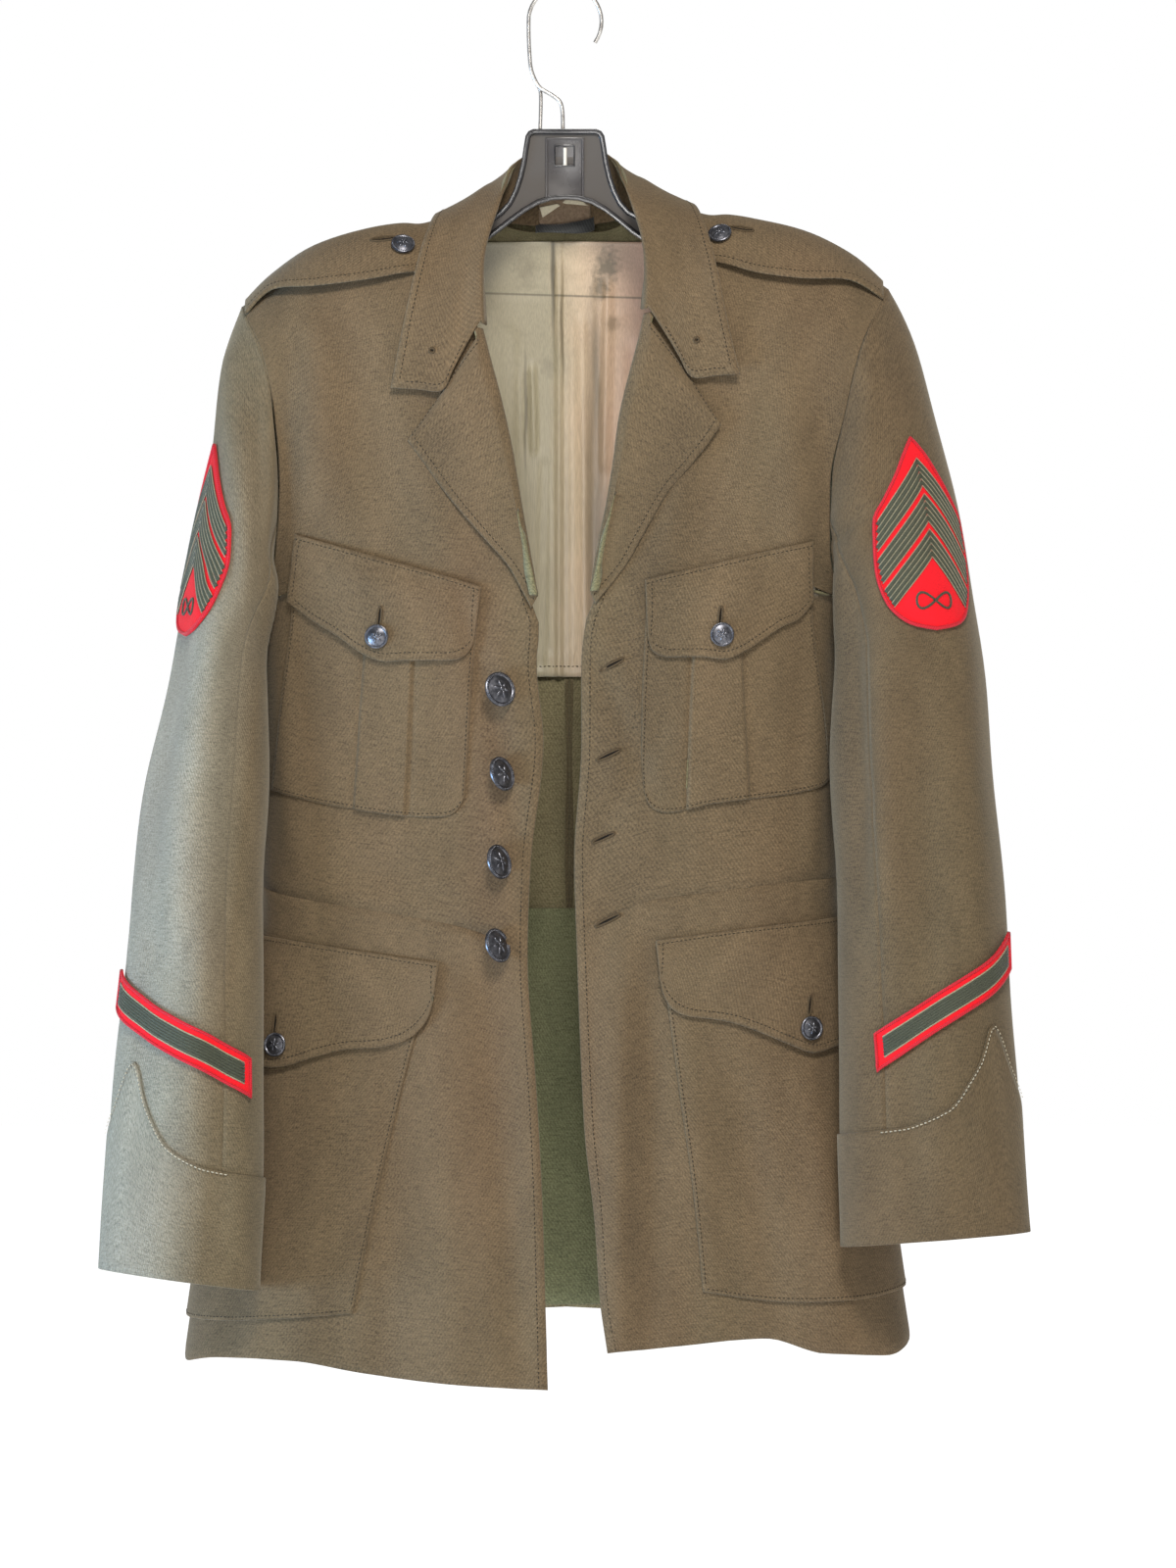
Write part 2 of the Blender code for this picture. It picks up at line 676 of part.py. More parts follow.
def makeLapels():
    for side in (left, right):
        outer = []
        for rollAcross, rollHeight, edgeAcross, edgeHeight in lapels[side]:
            line = [
                frontPoint(side, rollAcross + side * 15, rollHeight, -4.9),
                frontPoint(side, rollAcross + side * 6, rollHeight, -4.9),
                frontPoint(side, rollAcross + side * 1.5, rollHeight, -3.6),
                frontPoint(side, rollAcross, rollHeight, -0.2),
                frontPoint(side, rollAcross + side * 1.5, rollHeight, 3.6),
            ]
            for share in (0.18, 0.42, 0.7, 1.0):
                across, height = mix(rollAcross, edgeAcross, share), mix(rollHeight, edgeHeight, share)
                line.append(frontPoint(side, across, height, mix(5.4, 3.6, share)))
            outer.append(line)
        normals = gridNormals(outer)
        if normals[2][-1].y > 0:
            normals = [[-n for n in line] for line in normals]
        inner = [[p - n * clothWall for p, n in zip(*pair)] for pair in zip(outer, normals)]
        closeWall("lapel_" + sideName(side), outer, inner, coatWool)


# Collar

def makeCollar():
    outer = []
    for station in collarStations:
        seam, fold, middle, edge = (Vector(station[k:k + 3]) for k in (0, 3, 6, 9))
        away = (middle - seam).normalized()
        outwards = Vector((away.x, away.y, 0)).normalized()
        line = [seam, mix(seam, fold, 0.8), fold + outwards * 0.8]
        line.append(fold + outwards * 3.6 + Vector((0, 0, 0.8)))
        line.append(mix(fold + outwards * 4.5, middle, 0.4))
        line += [middle, mix(middle, edge, 0.5), edge]
        outer.append([liftClear(p) if k > 2 else p for k, p in enumerate(line)])
    outer = refine(outer, 2)
    normals = gridNormals(outer)
    if normals[len(outer) // 2][-1].y < 0:
        normals = [[-n for n in line] for line in normals]
    inner = [[p - n * clothWall for p, n in zip(*pair)] for pair in zip(outer, normals)]
    closeWall("collar", outer, inner, coatWool)


def liftClear(spot, clear=8.0):
    """Moves a point of the collar's fall out until it lies clear of what is beneath."""
    if spot.z >= ridge(spot.x) - 1:
        return spot
    surface = depthAt(spot.x, spot.z, spot.y > 0)
    if spot.y > 0:
        return Vector((spot.x, max(spot.y, surface + clear), spot.z))
    return Vector((spot.x, min(spot.y, surface - clear), spot.z))


def refine(grid, steps):
    """Adds rows between the rows of a grid on a smooth curve through them."""
    out = []
    for i in range(len(grid) - 1):
        a, b = grid[max(0, i - 1)], grid[i]
        c, d = grid[i + 1], grid[min(len(grid) - 1, i + 2)]
        for k in range(steps):
            t = k / steps
            line = []
            for p0, p1, p2, p3 in zip(a, b, c, d):
                spot = 2 * p1 + (p2 - p0) * t + (2 * p0 - 5 * p1 + 4 * p2 - p3) * t ** 2
                line.append((spot + (3 * p1 - p0 - 3 * p2 + p3) * t ** 3) * 0.5)
            out.append(line)
    return out + [grid[-1]]


# Sleeves

def armholeLoop(side):
    """Points of the armhole seam, from the shoulder tip down the front and up the back."""
    loop = []
    for j in range(sleeveSides):
        behind = j > armRows
        height = armDrop(side, min(j, sleeveSides - j))
        gap = seamGap + 1.5 * ease((armholes[side][-1][0] + 18 - height) / 12)
        across = side * (read(armholes[side], height, 2 if behind else 1) + gap)
        if j == 0:
            spot = Vector((across, 0, height))
        elif j == armRows:
            middle, width = section(height)[:2]
            spot = Vector((middle + side * (width + gap), 0, height - seamGap))
        else:
            spot = Vector((across, depthAt(across, height, behind), height))
        loop.append(spot)
    return loop


def sleevePoint(side, degrees, height, lift=0.0):
    """Point of the sleeve's tube, turned from its outer edge towards the front."""
    rows = sleeveSections[side]
    outerEdge, innerEdge, midDepth, halfDepth = (read(rows, height, k) for k in (1, 2, 3, 4))
    turn = math.radians(degrees)
    half = (outerEdge - innerEdge) / 2 + lift
    across = side * ((outerEdge + innerEdge) / 2 + half * math.cos(turn))
    spot = Vector((across, midDepth - (halfDepth + lift) * math.sin(turn), height))
    return clearBody(side, spot, mix(4.0, 6.0, ease((-650 - height) / 150)))


def clearBody(side, spot, clear):
    """Keeps a sleeve point outside the body's side."""
    middle, width, front, back = section(round(spot.z, 2))
    depth = (back if spot.y > 0 else front) + clear
    if abs(spot.y) >= depth:
        return spot
    limit = (width + clear) * (1 - (abs(spot.y) / depth) ** sectionPower) ** (1 / sectionPower)
    if spot.z > armholes[side][-1][0]:
        limit = min(limit, read(armholes[side], spot.z, 2 if spot.y > 0 else 1) - side * middle + clear)
    reach = side * (spot.x - middle)
    if reach >= limit + 6:
        return spot
    over = max(0.0, 1 - (reach - limit) / 6) if reach > limit else 1.0
    return Vector((middle + side * (limit if over == 1.0 else max(reach, limit)), spot.y, spot.z))


def hemHeight(side, degrees):
    outerEnd, innerEnd = sleeveEnds[side]
    return mix(outerEnd, innerEnd, (1 - math.cos(math.radians(degrees))) / 2)


capShares = (0.0, 0.06, 0.14, 0.25, 0.4, 0.58, 0.78, 1.0)
armShares = shares(6)


@lru_cache(maxsize=None)
def sleeveGrid(side):
    """Rings of the sleeve from the armhole seam to the hem."""
    loop = armholeLoop(side)
    underarm = armholes[side][-1][0] + 22
    grid = []
    for q in capShares:
        line = []
        for j, start in enumerate(loop):
            degrees = 360 * j / sleeveSides
            height = mix(start.z, sleeveFold, q)
            target = sleevePoint(side, degrees, height)
            outward = max(0.0, math.cos(math.radians(degrees)))
            grow = 1 - (1 - q) ** (3 + 8 * outward ** 2)
            spot = mix(start, target, grow)
            spot.z = height
            if q and height < underarm:
                spot = clearBody(side, spot, min(4.0, 2.0 + 14 * q))
            elif q:
                rim = read(armholes[side], height, 2 if spot.y > 0 else 1)
                spot.x = side * max(side * spot.x, rim + min(4.5, 2.4 + 14 * q))
            line.append(spot)
        grid.append(line)
    for r in armShares[1:]:
        line = []
        for j in range(sleeveSides):
            degrees = 360 * j / sleeveSides
            line.append(sleevePoint(side, degrees, mix(sleeveFold, hemHeight(side, degrees), r)))
        grid.append(line)
    return grid


seamColumns = (8, 17)   # columns of the forearm seam and the hindarm seam


def makeSleeves():
    for side in (left, right):
        outer, normals = sleeveGrid(side), sleeveNormals(side)
        inner = [[p - n * clothWall for p, n in zip(*pair)] for pair in zip(outer, normals)]
        for j, spot in enumerate(outer[0]):
            panelSide, sleeveSide = bodyNormal(spot), normals[0][j]
            high = ease((spot.z - armholes[side][-1][0] - 60) / 60)   # mitred but for the underarm
            share = max(high, ease((panelSide.dot(sleeveSide) + 0.2) / 0.8))
            inner[0][j] = spot - mix(sleeveSide, panelSide, share).normalized() * clothWall
        fore, hind = seamColumns
        for name, columns in (
            ("topsleeve_", list(range(hind, sleeveSides)) + list(range(0, fore + 1))),
            ("undersleeve_", list(range(fore, hind + 1))),
        ):
            parts = []
            for grid in (outer, inner):
                part = [[line[j].copy() for j in columns] for line in grid]
                for line in part:
                    for end, nextOne in ((0, 1), (-1, -2)):
                        line[end] += (line[nextOne] - line[end]).normalized() * seamGap / 2
                parts.append(part)
            closeWall(name + sideName(side), parts[0], parts[1], coatWool)


def makeCuffs():
    for side in (left, right):
        grids = []
        for lift in (layGap + trimWall, layGap):
            grid = []
            for r in shares(3):
                line = []
                for j in range(sleeveSides):
                    hem = hemHeight(side, 360 * j / sleeveSides)
                    top = hem + read(cuffRise, 360 * j / sleeveSides, 1)
                    line.append(onSleeve(side, j, mix(top, hem + 0.3, r), lift))
                grid.append(line)
            grids.append(grid)
        closeWall("cuff_" + sideName(side), grids[0], grids[1], coatWool, True)


@lru_cache(maxsize=None)
def sleeveNormals(side):
    normals = gridNormals(sleeveGrid(side), True)
    if normals[12][0].x * side < 0:
        normals = [[-n for n in line] for line in normals]
    return normals


def onSleeve(side, column, height, lift):
    """Point moved out from the sleeve's rings, at a place between their columns."""
    grid, normals = sleeveGrid(side), sleeveNormals(side)
    j = math.floor(column)
    share = column - j
    j, n = j % sleeveSides, (j + 1) % sleeveSides
    i = 0
    while i < len(grid) - 2 and mix(grid[i + 1][j].z, grid[i + 1][n].z, share) > height:
        i += 1
    spots = [mix(grid[k][j], grid[k][n], share) for k in (i, i + 1)]
    away = [mix(normals[k][j], normals[k][n], share) for k in (i, i + 1)]
    down = (spots[0].z - height) / (spots[0].z - spots[1].z)
    return mix(spots[0], spots[1], down) + mix(away[0], away[1], down).normalized() * lift


def sleeveColumn(side, girth, height):
    """Column of the sleeve a distance along its girth from the outer edge, towards the front."""
    direction = 1 if girth >= 0 else -1
    last, length, column = onSleeve(side, 0, height, 0), 0.0, 0.0
    while length < abs(girth) and column < sleeveSides / 2:
        column += 0.25
        spot = onSleeve(side, direction * column, height, 0)
        step = (spot - last).length
        length += step
        last = spot
    return direction * (column - 0.25 * (length - abs(girth)) / step) if length else 0.0


# Straps

def strapPoint(across, share, frontHeight, lift):
    """Point over the shoulder: share 0 lies just behind the shoulder line, 1 at the front edge."""
    fall = math.acos(1 - min(1.0, (ridge(across) - frontHeight) / shoulderRound))
    turn = mix(-0.12, fall, share)
    height = ridge(across) - shoulderRound * (1 - math.cos(turn))
    spot = Vector((across, depthAt(across, height, turn < 0), height))
    return spot + bodyNormal(spot) * lift


def makeStraps():
    for side in (left, right):
        outer, inner = [], []
        for across, front, lift in straps[side]:
            columns = (0.0, 0.25, 0.5, 0.75, 1.0)
            outer.append([strapPoint(across, share, front, lift) for share in columns])
            inner.append([strapPoint(across, share, front, lift - clothWall) for share in columns])
        closeWall("strap_" + sideName(side), outer, inner, coatWool)


# Pockets and flaps

pleat = (0.40, 0.60)


def pleatRise(u, v):
    """The box pleat stands proud between its two folds, more towards its foot."""
    return mix(1.2, 2.4, v) if pleat[0] < u < pleat[1] else 0.0


def makePockets():
    across = (0, 0.2, 0.395, 0.405, 0.5, 0.595, 0.605, 0.72, 0.8, 0.87, 0.94, 1)
    roundSide = (0, 0.13, 0.26, 0.39, 0.5, 0.58, 0.65, 0.71, 0.76, 0.81, 0.86, 0.91, 1)
    down = shares(5)
    for side in (left, right):
        layPatch(
            "breast_pocket_" + sideName(side), side, breastPockets[side], frontPoint, across, down,
            lambda u, v: layGap, lambda u, v: trimWall + pleatRise(u, v), coatWool,
        )
        layPatch(
            "lower_pocket_" + sideName(side), side, lowerPockets[side], roundPoint, roundSide, shares(6),
            lambda u, v: layGap + 0.95, lambda u, v: trimWall + 1.5 * math.sin(math.pi * u) * v, coatWool,
        )
        for name, outline, placer, columns in (
            ("breast_flap_", breastFlaps[side], frontPoint, towardsSide(8)),
            ("lower_flap_", lowerFlaps[side], roundPoint, roundSide),
        ):
            layPatch(
                name + sideName(side), side, outline, placer, columns,
                (0, 0.1, 0.22, 0.45, 0.7, 1), flapLift, lambda u, v: trimWall + 0.4, coatWool,
            )


def flapLift(u, v):
    middle = ease(1 - abs(u - 0.5) / 0.42)
    return mix(layGap + 1.0, 4.5 + 2.4 * middle, ease(v / 0.3))


# Buttons

def turned(name, spot, normal, profile, material, sides=12):
    """Round piece turned about the line through spot along normal; profile is (radius, rise)."""
    turn = normal.to_track_quat("Z", "Y")
    form = bmesh.new()
    rings = []
    for radius, rise in profile:
        ring = []
        for k in range(sides):
            angle = 2 * math.pi * k / sides
            corner = Vector((radius * math.cos(angle), radius * math.sin(angle), rise))
            ring.append(form.verts.new((spot + turn @ corner) * mm))
        rings.append(ring)
    for lower, upper in zip(rings, rings[1:]):
        for k in range(sides):
            n = (k + 1) % sides
            form.faces.new((lower[k], lower[n], upper[n], upper[k]))
    form.faces.new(rings[0][::-1])
    form.faces.new(rings[-1])
    mesh = bpy.data.meshes.new(name)
    form.to_mesh(mesh)
    form.free()
    mesh.shade_smooth()
    mesh.set_sharp_from_angle(angle=math.radians(35))
    return addObject(name, mesh, material)


def buttonProfile(size, stand):
    radius = size / 2
    return (
        (radius * 0.28, 0.0), (radius * 0.28, stand), (radius * 0.97, stand + 0.7),
        (radius, stand + 1.9), (radius * 0.72, stand + 3.4), (radius * 0.3, stand + 4.1),
    )


def makeButtons():
    for k, (across, height) in enumerate(frontButtons):
        spot = frontPoint(left, across, height, 0.4)
        profile = buttonProfile(frontButtonSize, 2.0)
        turned("front_button_%d" % (k + 1), spot, bodyNormal(spot), profile, buttonMetal, 14)
    for name, (side, distance, height) in pocketButtons.items():
        placer = frontPoint if name.startswith("breast") else roundPoint
        spot = placer(side, distance, height, flapLift(0.5, 1) + trimWall + 0.8)
        turned(name, spot, bodyNormal(spot), buttonProfile(pocketButtonSize, 1.2), buttonMetal)
    for name, (side, across, height) in strapButtons.items():
        front, lift = (read(straps[side], across, k) for k in (1, 2))
        share = math.acos(1 - (ridge(across) - height) / shoulderRound)
        share /= math.acos(1 - (ridge(across) - front) / shoulderRound)
        spot = strapPoint(across, share, front, lift + 0.4)
        turned(name, spot, bodyNormal(spot), buttonProfile(pocketButtonSize, 1.2), buttonMetal)


# Sleeve patches

def layOnSleeve(name, side, rows, lift, material):
    """Patch on the sleeve; a row is a list of (girth, height, rise)."""
    outer, inner = [], []
    for row in rows:
        places = [(sleeveColumn(side, girth, height), height, rise) for girth, height, rise in row]
        inner.append([onSleeve(side, c, height, lift) for c, height, rise in places])
        outer.append([onSleeve(side, c, height, lift + 1.2 + rise) for c, height, rise in places])
    closeWall(name, outer, inner, material)


def makePatches():
    for side in (left, right):
        top, middle, clearance = patchPlaces[side]
        rows = []
        for below, half, drop, raised in patchRows:
            spread = (-1, -0.66, -0.33, 0, 0.33, 0.66, 1)
            rows.append([(middle + u * half, top - below - drop * abs(u), raised * 0.9) for u in spread])
        layOnSleeve("rank_patch_" + sideName(side), side, rows, clearance, redFelt)
        lowHeight, lowGirth, highHeight, highGirth, width = stripeEnds[side]
        rows = []
        for v, rise in ((0, 0), (0.3, 0), (0.32, 0.8), (0.68, 0.8), (0.7, 0), (1, 0)):
            row = []
            for u in shares(10):
                row.append((mix(highGirth, lowGirth, u), mix(highHeight, lowHeight, u) - v * width, rise))
            rows.append(row)
        layOnSleeve("service_stripe_" + sideName(side), side, rows, layGap, redFelt)


# Inside

liningRows = (
    # height, half width
    (-174, 62), (-186, 84), (-200, 104), (-218, 122), (-245, 134), (-285, 140), (-340, 140),
    (-410, 140), (-478, 140),
)
liningClear = 1.6


def makeInside():
    outer, inner = [], []
    depths = (clothWall + liningClear, clothWall + liningClear + liningWall)
    for height, half in liningRows:
        ways = [wayOf(right, half * (2 * share - 1), height, True) for share in shares(10)]
        outer.append([bodyPoint(right, way, height, -depths[0]) for way in ways])
        inner.append([bodyPoint(right, way, height, -depths[1]) for way in ways])
    closeWall("back_lining", outer, inner, liningSatin)
    flat = bpy.data.meshes.new("label")
    corners = [(x, y, z) for y in (28.3, 29.1) for x, z in ((-17, -151), (16, -145), (18, -155), (-15, -161))]
    faces = [(0, 1, 2, 3), (7, 6, 5, 4), (0, 4, 5, 1), (1, 5, 6, 2), (2, 6, 7, 3), (3, 7, 4, 0)]
    flat.from_pydata([Vector(p) * mm for p in corners], [], faces)
    form = bmesh.new()
    form.from_mesh(flat)
    bmesh.ops.recalc_face_normals(form, faces=form.faces)
    form.to_mesh(flat)
    form.free()
    addObject("label", flat, labelCloth)
    loop = [(20 * math.sin(a), 30 - 5 * math.cos(a), -166 - 3 * math.cos(a)) for a in
            (math.radians(d) for d in range(-90, 91, 18))]
    tube("hanging_loop", loop, 2.0, darkTape)


# Hanger

def ridgeUnder(across):
    return ridge(across) - clothWall - 2.3


def hangerOutline():
    """Outline of the hanger's flat body seen from the front, clockwise from the neck's top."""
    neck = [(22, hangerTop), (27, hangerTop - 4), (29.5, -121), (34, -138), (44, -154)]
    upper = neck + [(60, -163), (75, -168), (88, ridgeUnder(88) - 2)]
    upper += [(across, ridgeUnder(across)) for across in (104, 125, 145, 170, 190, 203)]
    lower = [(211, -222), (206, -232), (180, -222), (140, -207), (100, -196), (70, -190)]
    lower += [(51, -175), (36, -160), (18, -150), (0, -147.6), (-18, -150), (-36, -161)]
    lower += [(-51, -179), (-70, -195), (-100, -203), (-140, -214), (-180, -231), (-206, -242)]
    lower += [(-213, -232)]
    back = [(across, ridgeUnder(across)) for across in (-203, -190, -170, -145, -125, -104)]
    back += [(-88, ridgeUnder(-88) - 2), (-75, -172), (-60, -166)]
    return upper + lower + back + [(-x, z) for x, z in reversed(neck)]


def makeHanger():
    form = bmesh.new()
    outline = hangerOutline()
    corners = [form.verts.new((x * mm, -hangerThickness / 2 * mm, z * mm)) for x, z in outline]
    face = form.faces.new(corners)
    grown = bmesh.ops.extrude_face_region(form, geom=[face])
    moved = [v for v in grown["geom"] if isinstance(v, bmesh.types.BMVert)]
    bmesh.ops.translate(form, verts=moved, vec=(0, hangerThickness * mm, 0))
    bmesh.ops.recalc_face_normals(form, faces=form.faces)
    mesh = bpy.data.meshes.new("hanger_body")
    form.to_mesh(mesh)
    form.free()
    addObject("hanger_body", mesh, blackPlastic)
    makeHook()


def makeHook():
    reach = hookRadius + wireRadius
    route = []
    for degrees in range(-35, 181, 12):
        angle = math.radians(degrees)
        route.append((reach * math.cos(angle), 0, reach * math.sin(angle) - hookRadius))
    route += [(-24.6, 0, -40), (-22.8, 0, -58), (-18, 0, -69), (-9, 0, -75)]
    route += [(-3.2, 0, -80), (-1.6, 0, -88), (-1.4, 0, hangerTop + 0.35)]
    tube("hanger_hook", route, wireRadius, hookSteel)
    tail = [(-16.5, 3.1, -72), (-16.8, 2.4, -84), (-17.2, 0.6, hangerTop + 0.35)]
    tube("hanger_hook_tail", tail, wireRadius * 0.9, hookSteel)


def tube(name, route, radius, material):
    """Wire or cord along a route of points, with flat ends."""
    curve = bpy.data.curves.new(name, "CURVE")
    curve.dimensions = "3D"
    curve.bevel_depth = radius * mm
    curve.bevel_resolution = 2
    curve.use_fill_caps = True
    line = curve.splines.new("POLY")
    line.points.add(len(route) - 1)
    for point, spot in zip(line.points, route):
        point.co = (*(Vector(spot) * mm), 1)
    piece = bpy.data.objects.new(name, curve)
    bpy.context.scene.collection.objects.link(piece)
    curve.materials.append(material)


makeFronts()
makeBacks()
makeLapels()
makeCollar()
makeSleeves()
makeCuffs()
makeStraps()
makePockets()
makeButtons()
makePatches()
makeInside()
makeHanger()
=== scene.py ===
import math
from functools import lru_cache

import bpy
import numpy as np
from mathutils import Matrix, Vector


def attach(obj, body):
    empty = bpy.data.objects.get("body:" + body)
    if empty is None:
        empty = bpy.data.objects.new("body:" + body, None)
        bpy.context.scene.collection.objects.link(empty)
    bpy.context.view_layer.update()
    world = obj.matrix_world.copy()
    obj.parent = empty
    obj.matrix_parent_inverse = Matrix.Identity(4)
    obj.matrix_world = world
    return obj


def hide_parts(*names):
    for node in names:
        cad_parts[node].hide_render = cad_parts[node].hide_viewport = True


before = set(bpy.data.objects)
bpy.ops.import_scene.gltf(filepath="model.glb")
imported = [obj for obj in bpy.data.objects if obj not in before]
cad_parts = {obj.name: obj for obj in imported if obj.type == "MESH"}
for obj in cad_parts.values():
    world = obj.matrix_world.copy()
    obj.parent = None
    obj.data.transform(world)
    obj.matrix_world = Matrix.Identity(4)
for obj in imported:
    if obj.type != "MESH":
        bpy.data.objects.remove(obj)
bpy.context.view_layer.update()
bpy.ops.object.select_all(action="DESELECT")

# Lengths are millimetres here, the meshes are metres. X is to the viewer's right, -Y is the coat's front.
mm = 0.001
left, right = -1, 1


# Small tools for tables and curves

def read(table, key, column):   # smooth value from a table whose first column is the key
    rows = sorted(table)
    if key <= rows[0][0]:
        return float(rows[0][column])
    if key >= rows[-1][0]:
        return float(rows[-1][column])
    at = max(i for i, row in enumerate(rows) if row[0] <= key)
    before, after = rows[at], rows[at + 1]
    span = after[0] - before[0]
    slope = (after[column] - before[column]) / span

    def tangent(i):
        if i <= 0 or i >= len(rows) - 1:
            return slope
        a = (rows[i][column] - rows[i - 1][column]) / (rows[i][0] - rows[i - 1][0])
        b = (rows[i + 1][column] - rows[i][column]) / (rows[i + 1][0] - rows[i][0])
        return 0.0 if a * b <= 0 else 2 * a * b / (a + b)

    t = (key - before[0]) / span
    m0, m1 = tangent(at) * span, tangent(at + 1) * span
    curve = (2 * t ** 3 - 3 * t ** 2 + 1) * before[column] + (t ** 3 - 2 * t ** 2 + t) * m0
    return curve + (3 * t ** 2 - 2 * t ** 3) * after[column] + (t ** 3 - t ** 2) * m1


def mix(a, b, share):
    return a + (b - a) * share


def ease(share):
    share = np.clip(share, 0.0, 1.0)
    return share * share * (3 - 2 * share)


def shares(count):
    return [i / count for i in range(count + 1)]


def curveAt(points, share):   # smooth line through points, by share of their number
    place = min(max(share, 0.0), 1.0) * (len(points) - 1)
    i = min(len(points) - 2, int(place))
    t = place - i
    a, b = points[max(0, i - 1)], points[i]
    c, d = points[i + 1], points[min(len(points) - 1, i + 2)]
    out = []
    for p0, p1, p2, p3 in zip(a, b, c, d):
        spot = 2 * p1 + (p2 - p0) * t + (2 * p0 - 5 * p1 + 4 * p2 - p3) * t ** 2
        out.append((spot + (3 * p1 - p0 - 3 * p2 + p3) * t ** 3) * 0.5)
    return out


def sideName(side):
    return "left" if side == left else "right"


# The coat's body: its level sections, seams and edges

coat = {
    "wall": 2.0,
    "seamGap": 0.35,
    "shoulderRound": 70.0,
    "sectionPower": 2.4,
    "sections": (
        # height, middle, half width, front depth, back depth
        (-110, 0, 300, 36, 36),
        (-200, 0, 300, 50, 46),
        (-260, -4, 288, 60, 56),
        (-340, -8, 256, 70, 62),
        (-395, -10, 220, 75, 64),
        (-425, -10, 205, 76, 64),
        (-470, -10, 201, 76, 63),
        (-560, -10, 200, 74, 60),
        (-640, -10, 201, 71, 58),
        (-720, -10, 212, 73, 62),
        (-800, -10, 228, 77, 66),
        (-880, -11, 244, 82, 70),
        (-980, -12, 260, 89, 75),
    ),
    "ridge": (
        # across, height
        (-300, -330), (-245, -243), (-235, -231), (-224, -222), (-200, -204), (-171, -186),
        (-134, -173.5), (-88, -164), (-45, -145), (0, -130), (45, -139), (88, -158), (129, -166.5),
        (163, -175), (197, -191), (222, -208), (234, -218), (245, -230), (300, -320),
    ),
    "flutes": (
        # way round, spread, depth at the hem, height where it fades out
        (0.14, 0.14, 4.0, -700),
        (0.42, 0.14, -4.0, -690),
        (0.70, 0.13, 4.5, -720),
        (0.95, 0.12, -3.0, -760),
        (1.24, 0.14, 5.0, -700),
        (1.52, 0.14, -4.0, -720),
        (1.80, 0.13, 4.0, -700),
    ),
    "frontEdges": {
        left: (
            # height, across
            (-150, -74), (-158, -70), (-172, -66), (-188, -62), (-205, -61), (-238, -61), (-281, -51),
            (-316, -43), (-362, -35), (-400, -28), (-426, -24), (-445, -18), (-470, -20), (-525, -15),
            (-607, -24), (-672, -26), (-771, -19.5), (-841, -16), (-914, -14), (-975, -12),
        ),
        right: (
            (-142, 74), (-152, 70), (-166, 66), (-182, 62), (-200, 60), (-227, 60), (-260, 53),
            (-298, 44), (-362, 35), (-400, 26), (-420, 23), (-445, 14), (-470, 12), (-525, 12),
            (-607, 7), (-655, 8.5), (-724, 11), (-795, 14.5), (-853, 20.5), (-907, 24), (-950, 30.5),
        ),
    },
    "armholes": {
        left: (
            # height, front, back
            (-222, 224, 224), (-256, 209, 212), (-296, 201, 204), (-343, 198, 201),
            (-395, 201, 206), (-414, 206, 210), (-425, 213, 213),
        ),
        right: (
            (-209, 224, 224), (-253, 204, 208), (-294, 194, 198), (-346, 184, 190),
            (-395, 185, 190), (-414, 189, 191), (-425, 194, 194),
        ),
    },
    "waistSeam": (
        # way round, left height, right height
        (0.0, -673, -655), (0.12, -658, -643), (0.22, -651, -634), (0.5, -640, -626),
        (0.75, -632, -620), (1.0, -622, -617),
    ),
    "hemLine": (
        (0.0, -969, -944), (0.2, -966, -939), (0.45, -957, -934), (0.6, -950, -945),
        (0.8, -948, -947), (0.95, -951, -938), (1.05, -936, -928), (1.4, -926, -926),
        (2.0, -918, -918),
    ),
    "neckPoint": 70.0,       # where the shoulder seams meet the neck
    "neckShare": 0.62,       # share of the back's width that lies under the shoulder
    "backNeckHeight": -168.0,
    "columns": 44,
}
armRows = 48                 # rows of a panel beside the armhole


@lru_cache(maxsize=None)
def section(height):         # middle, half width, front depth and back depth
    return tuple(read(coat["sections"], height, column) for column in (1, 2, 3, 4))


@lru_cache(maxsize=None)
def ridge(across):
    return read(coat["ridge"], across, 1)


def shoulderFactor(across, height):
    down = ridge(round(across, 1)) - height
    return 1.0 if down >= coat["shoulderRound"] else 1 - (1 - down / coat["shoulderRound"]) ** 2


def depthAt(across, height, behind=False):
    middle, width, front, back = section(round(height, 1))
    power = coat["sectionPower"]
    share = max(0.0, 1 - min(1.0, abs(across - middle) / width) ** power)
    depth = share ** (1 / power) * math.sqrt(max(0.0, shoulderFactor(across, height)))
    return back * depth if behind else -front * depth


def fieldAt(p):
    middle, width, front, back = section(round(p.z, 1))
    share = max(0.0, 1 - min(1.0, abs(p.x - middle) / width) ** coat["sectionPower"])
    depth = (back if p.y > 0 else front) * share ** (1 / coat["sectionPower"])
    return p.y ** 2 - depth ** 2 * shoulderFactor(p.x, p.z)


bodySteps = (Vector((0.6, 0, 0)), Vector((0, 0.6, 0)), Vector((0, 0, 0.6)))


def bodyNormal(p):
    return Vector([fieldAt(p + s) - fieldAt(p - s) for s in bodySteps]).normalized()


@lru_cache(maxsize=None)
def quarter(height, behind):   # arc lengths and shares of the half width along a quarter section
    middle, width, front, back = section(height)
    depth, power = back if behind else front, coat["sectionPower"]
    turn = np.linspace(0, math.pi / 2, 61)
    across = np.sin(turn) ** (2 / power)
    spots = np.stack([width * across, depth * np.clip(np.cos(turn), 0, 1) ** (2 / power)], axis=1)
    arcs = np.concatenate([[0], np.cumsum(np.linalg.norm(np.diff(spots, axis=0), axis=1))])
    return arcs, across


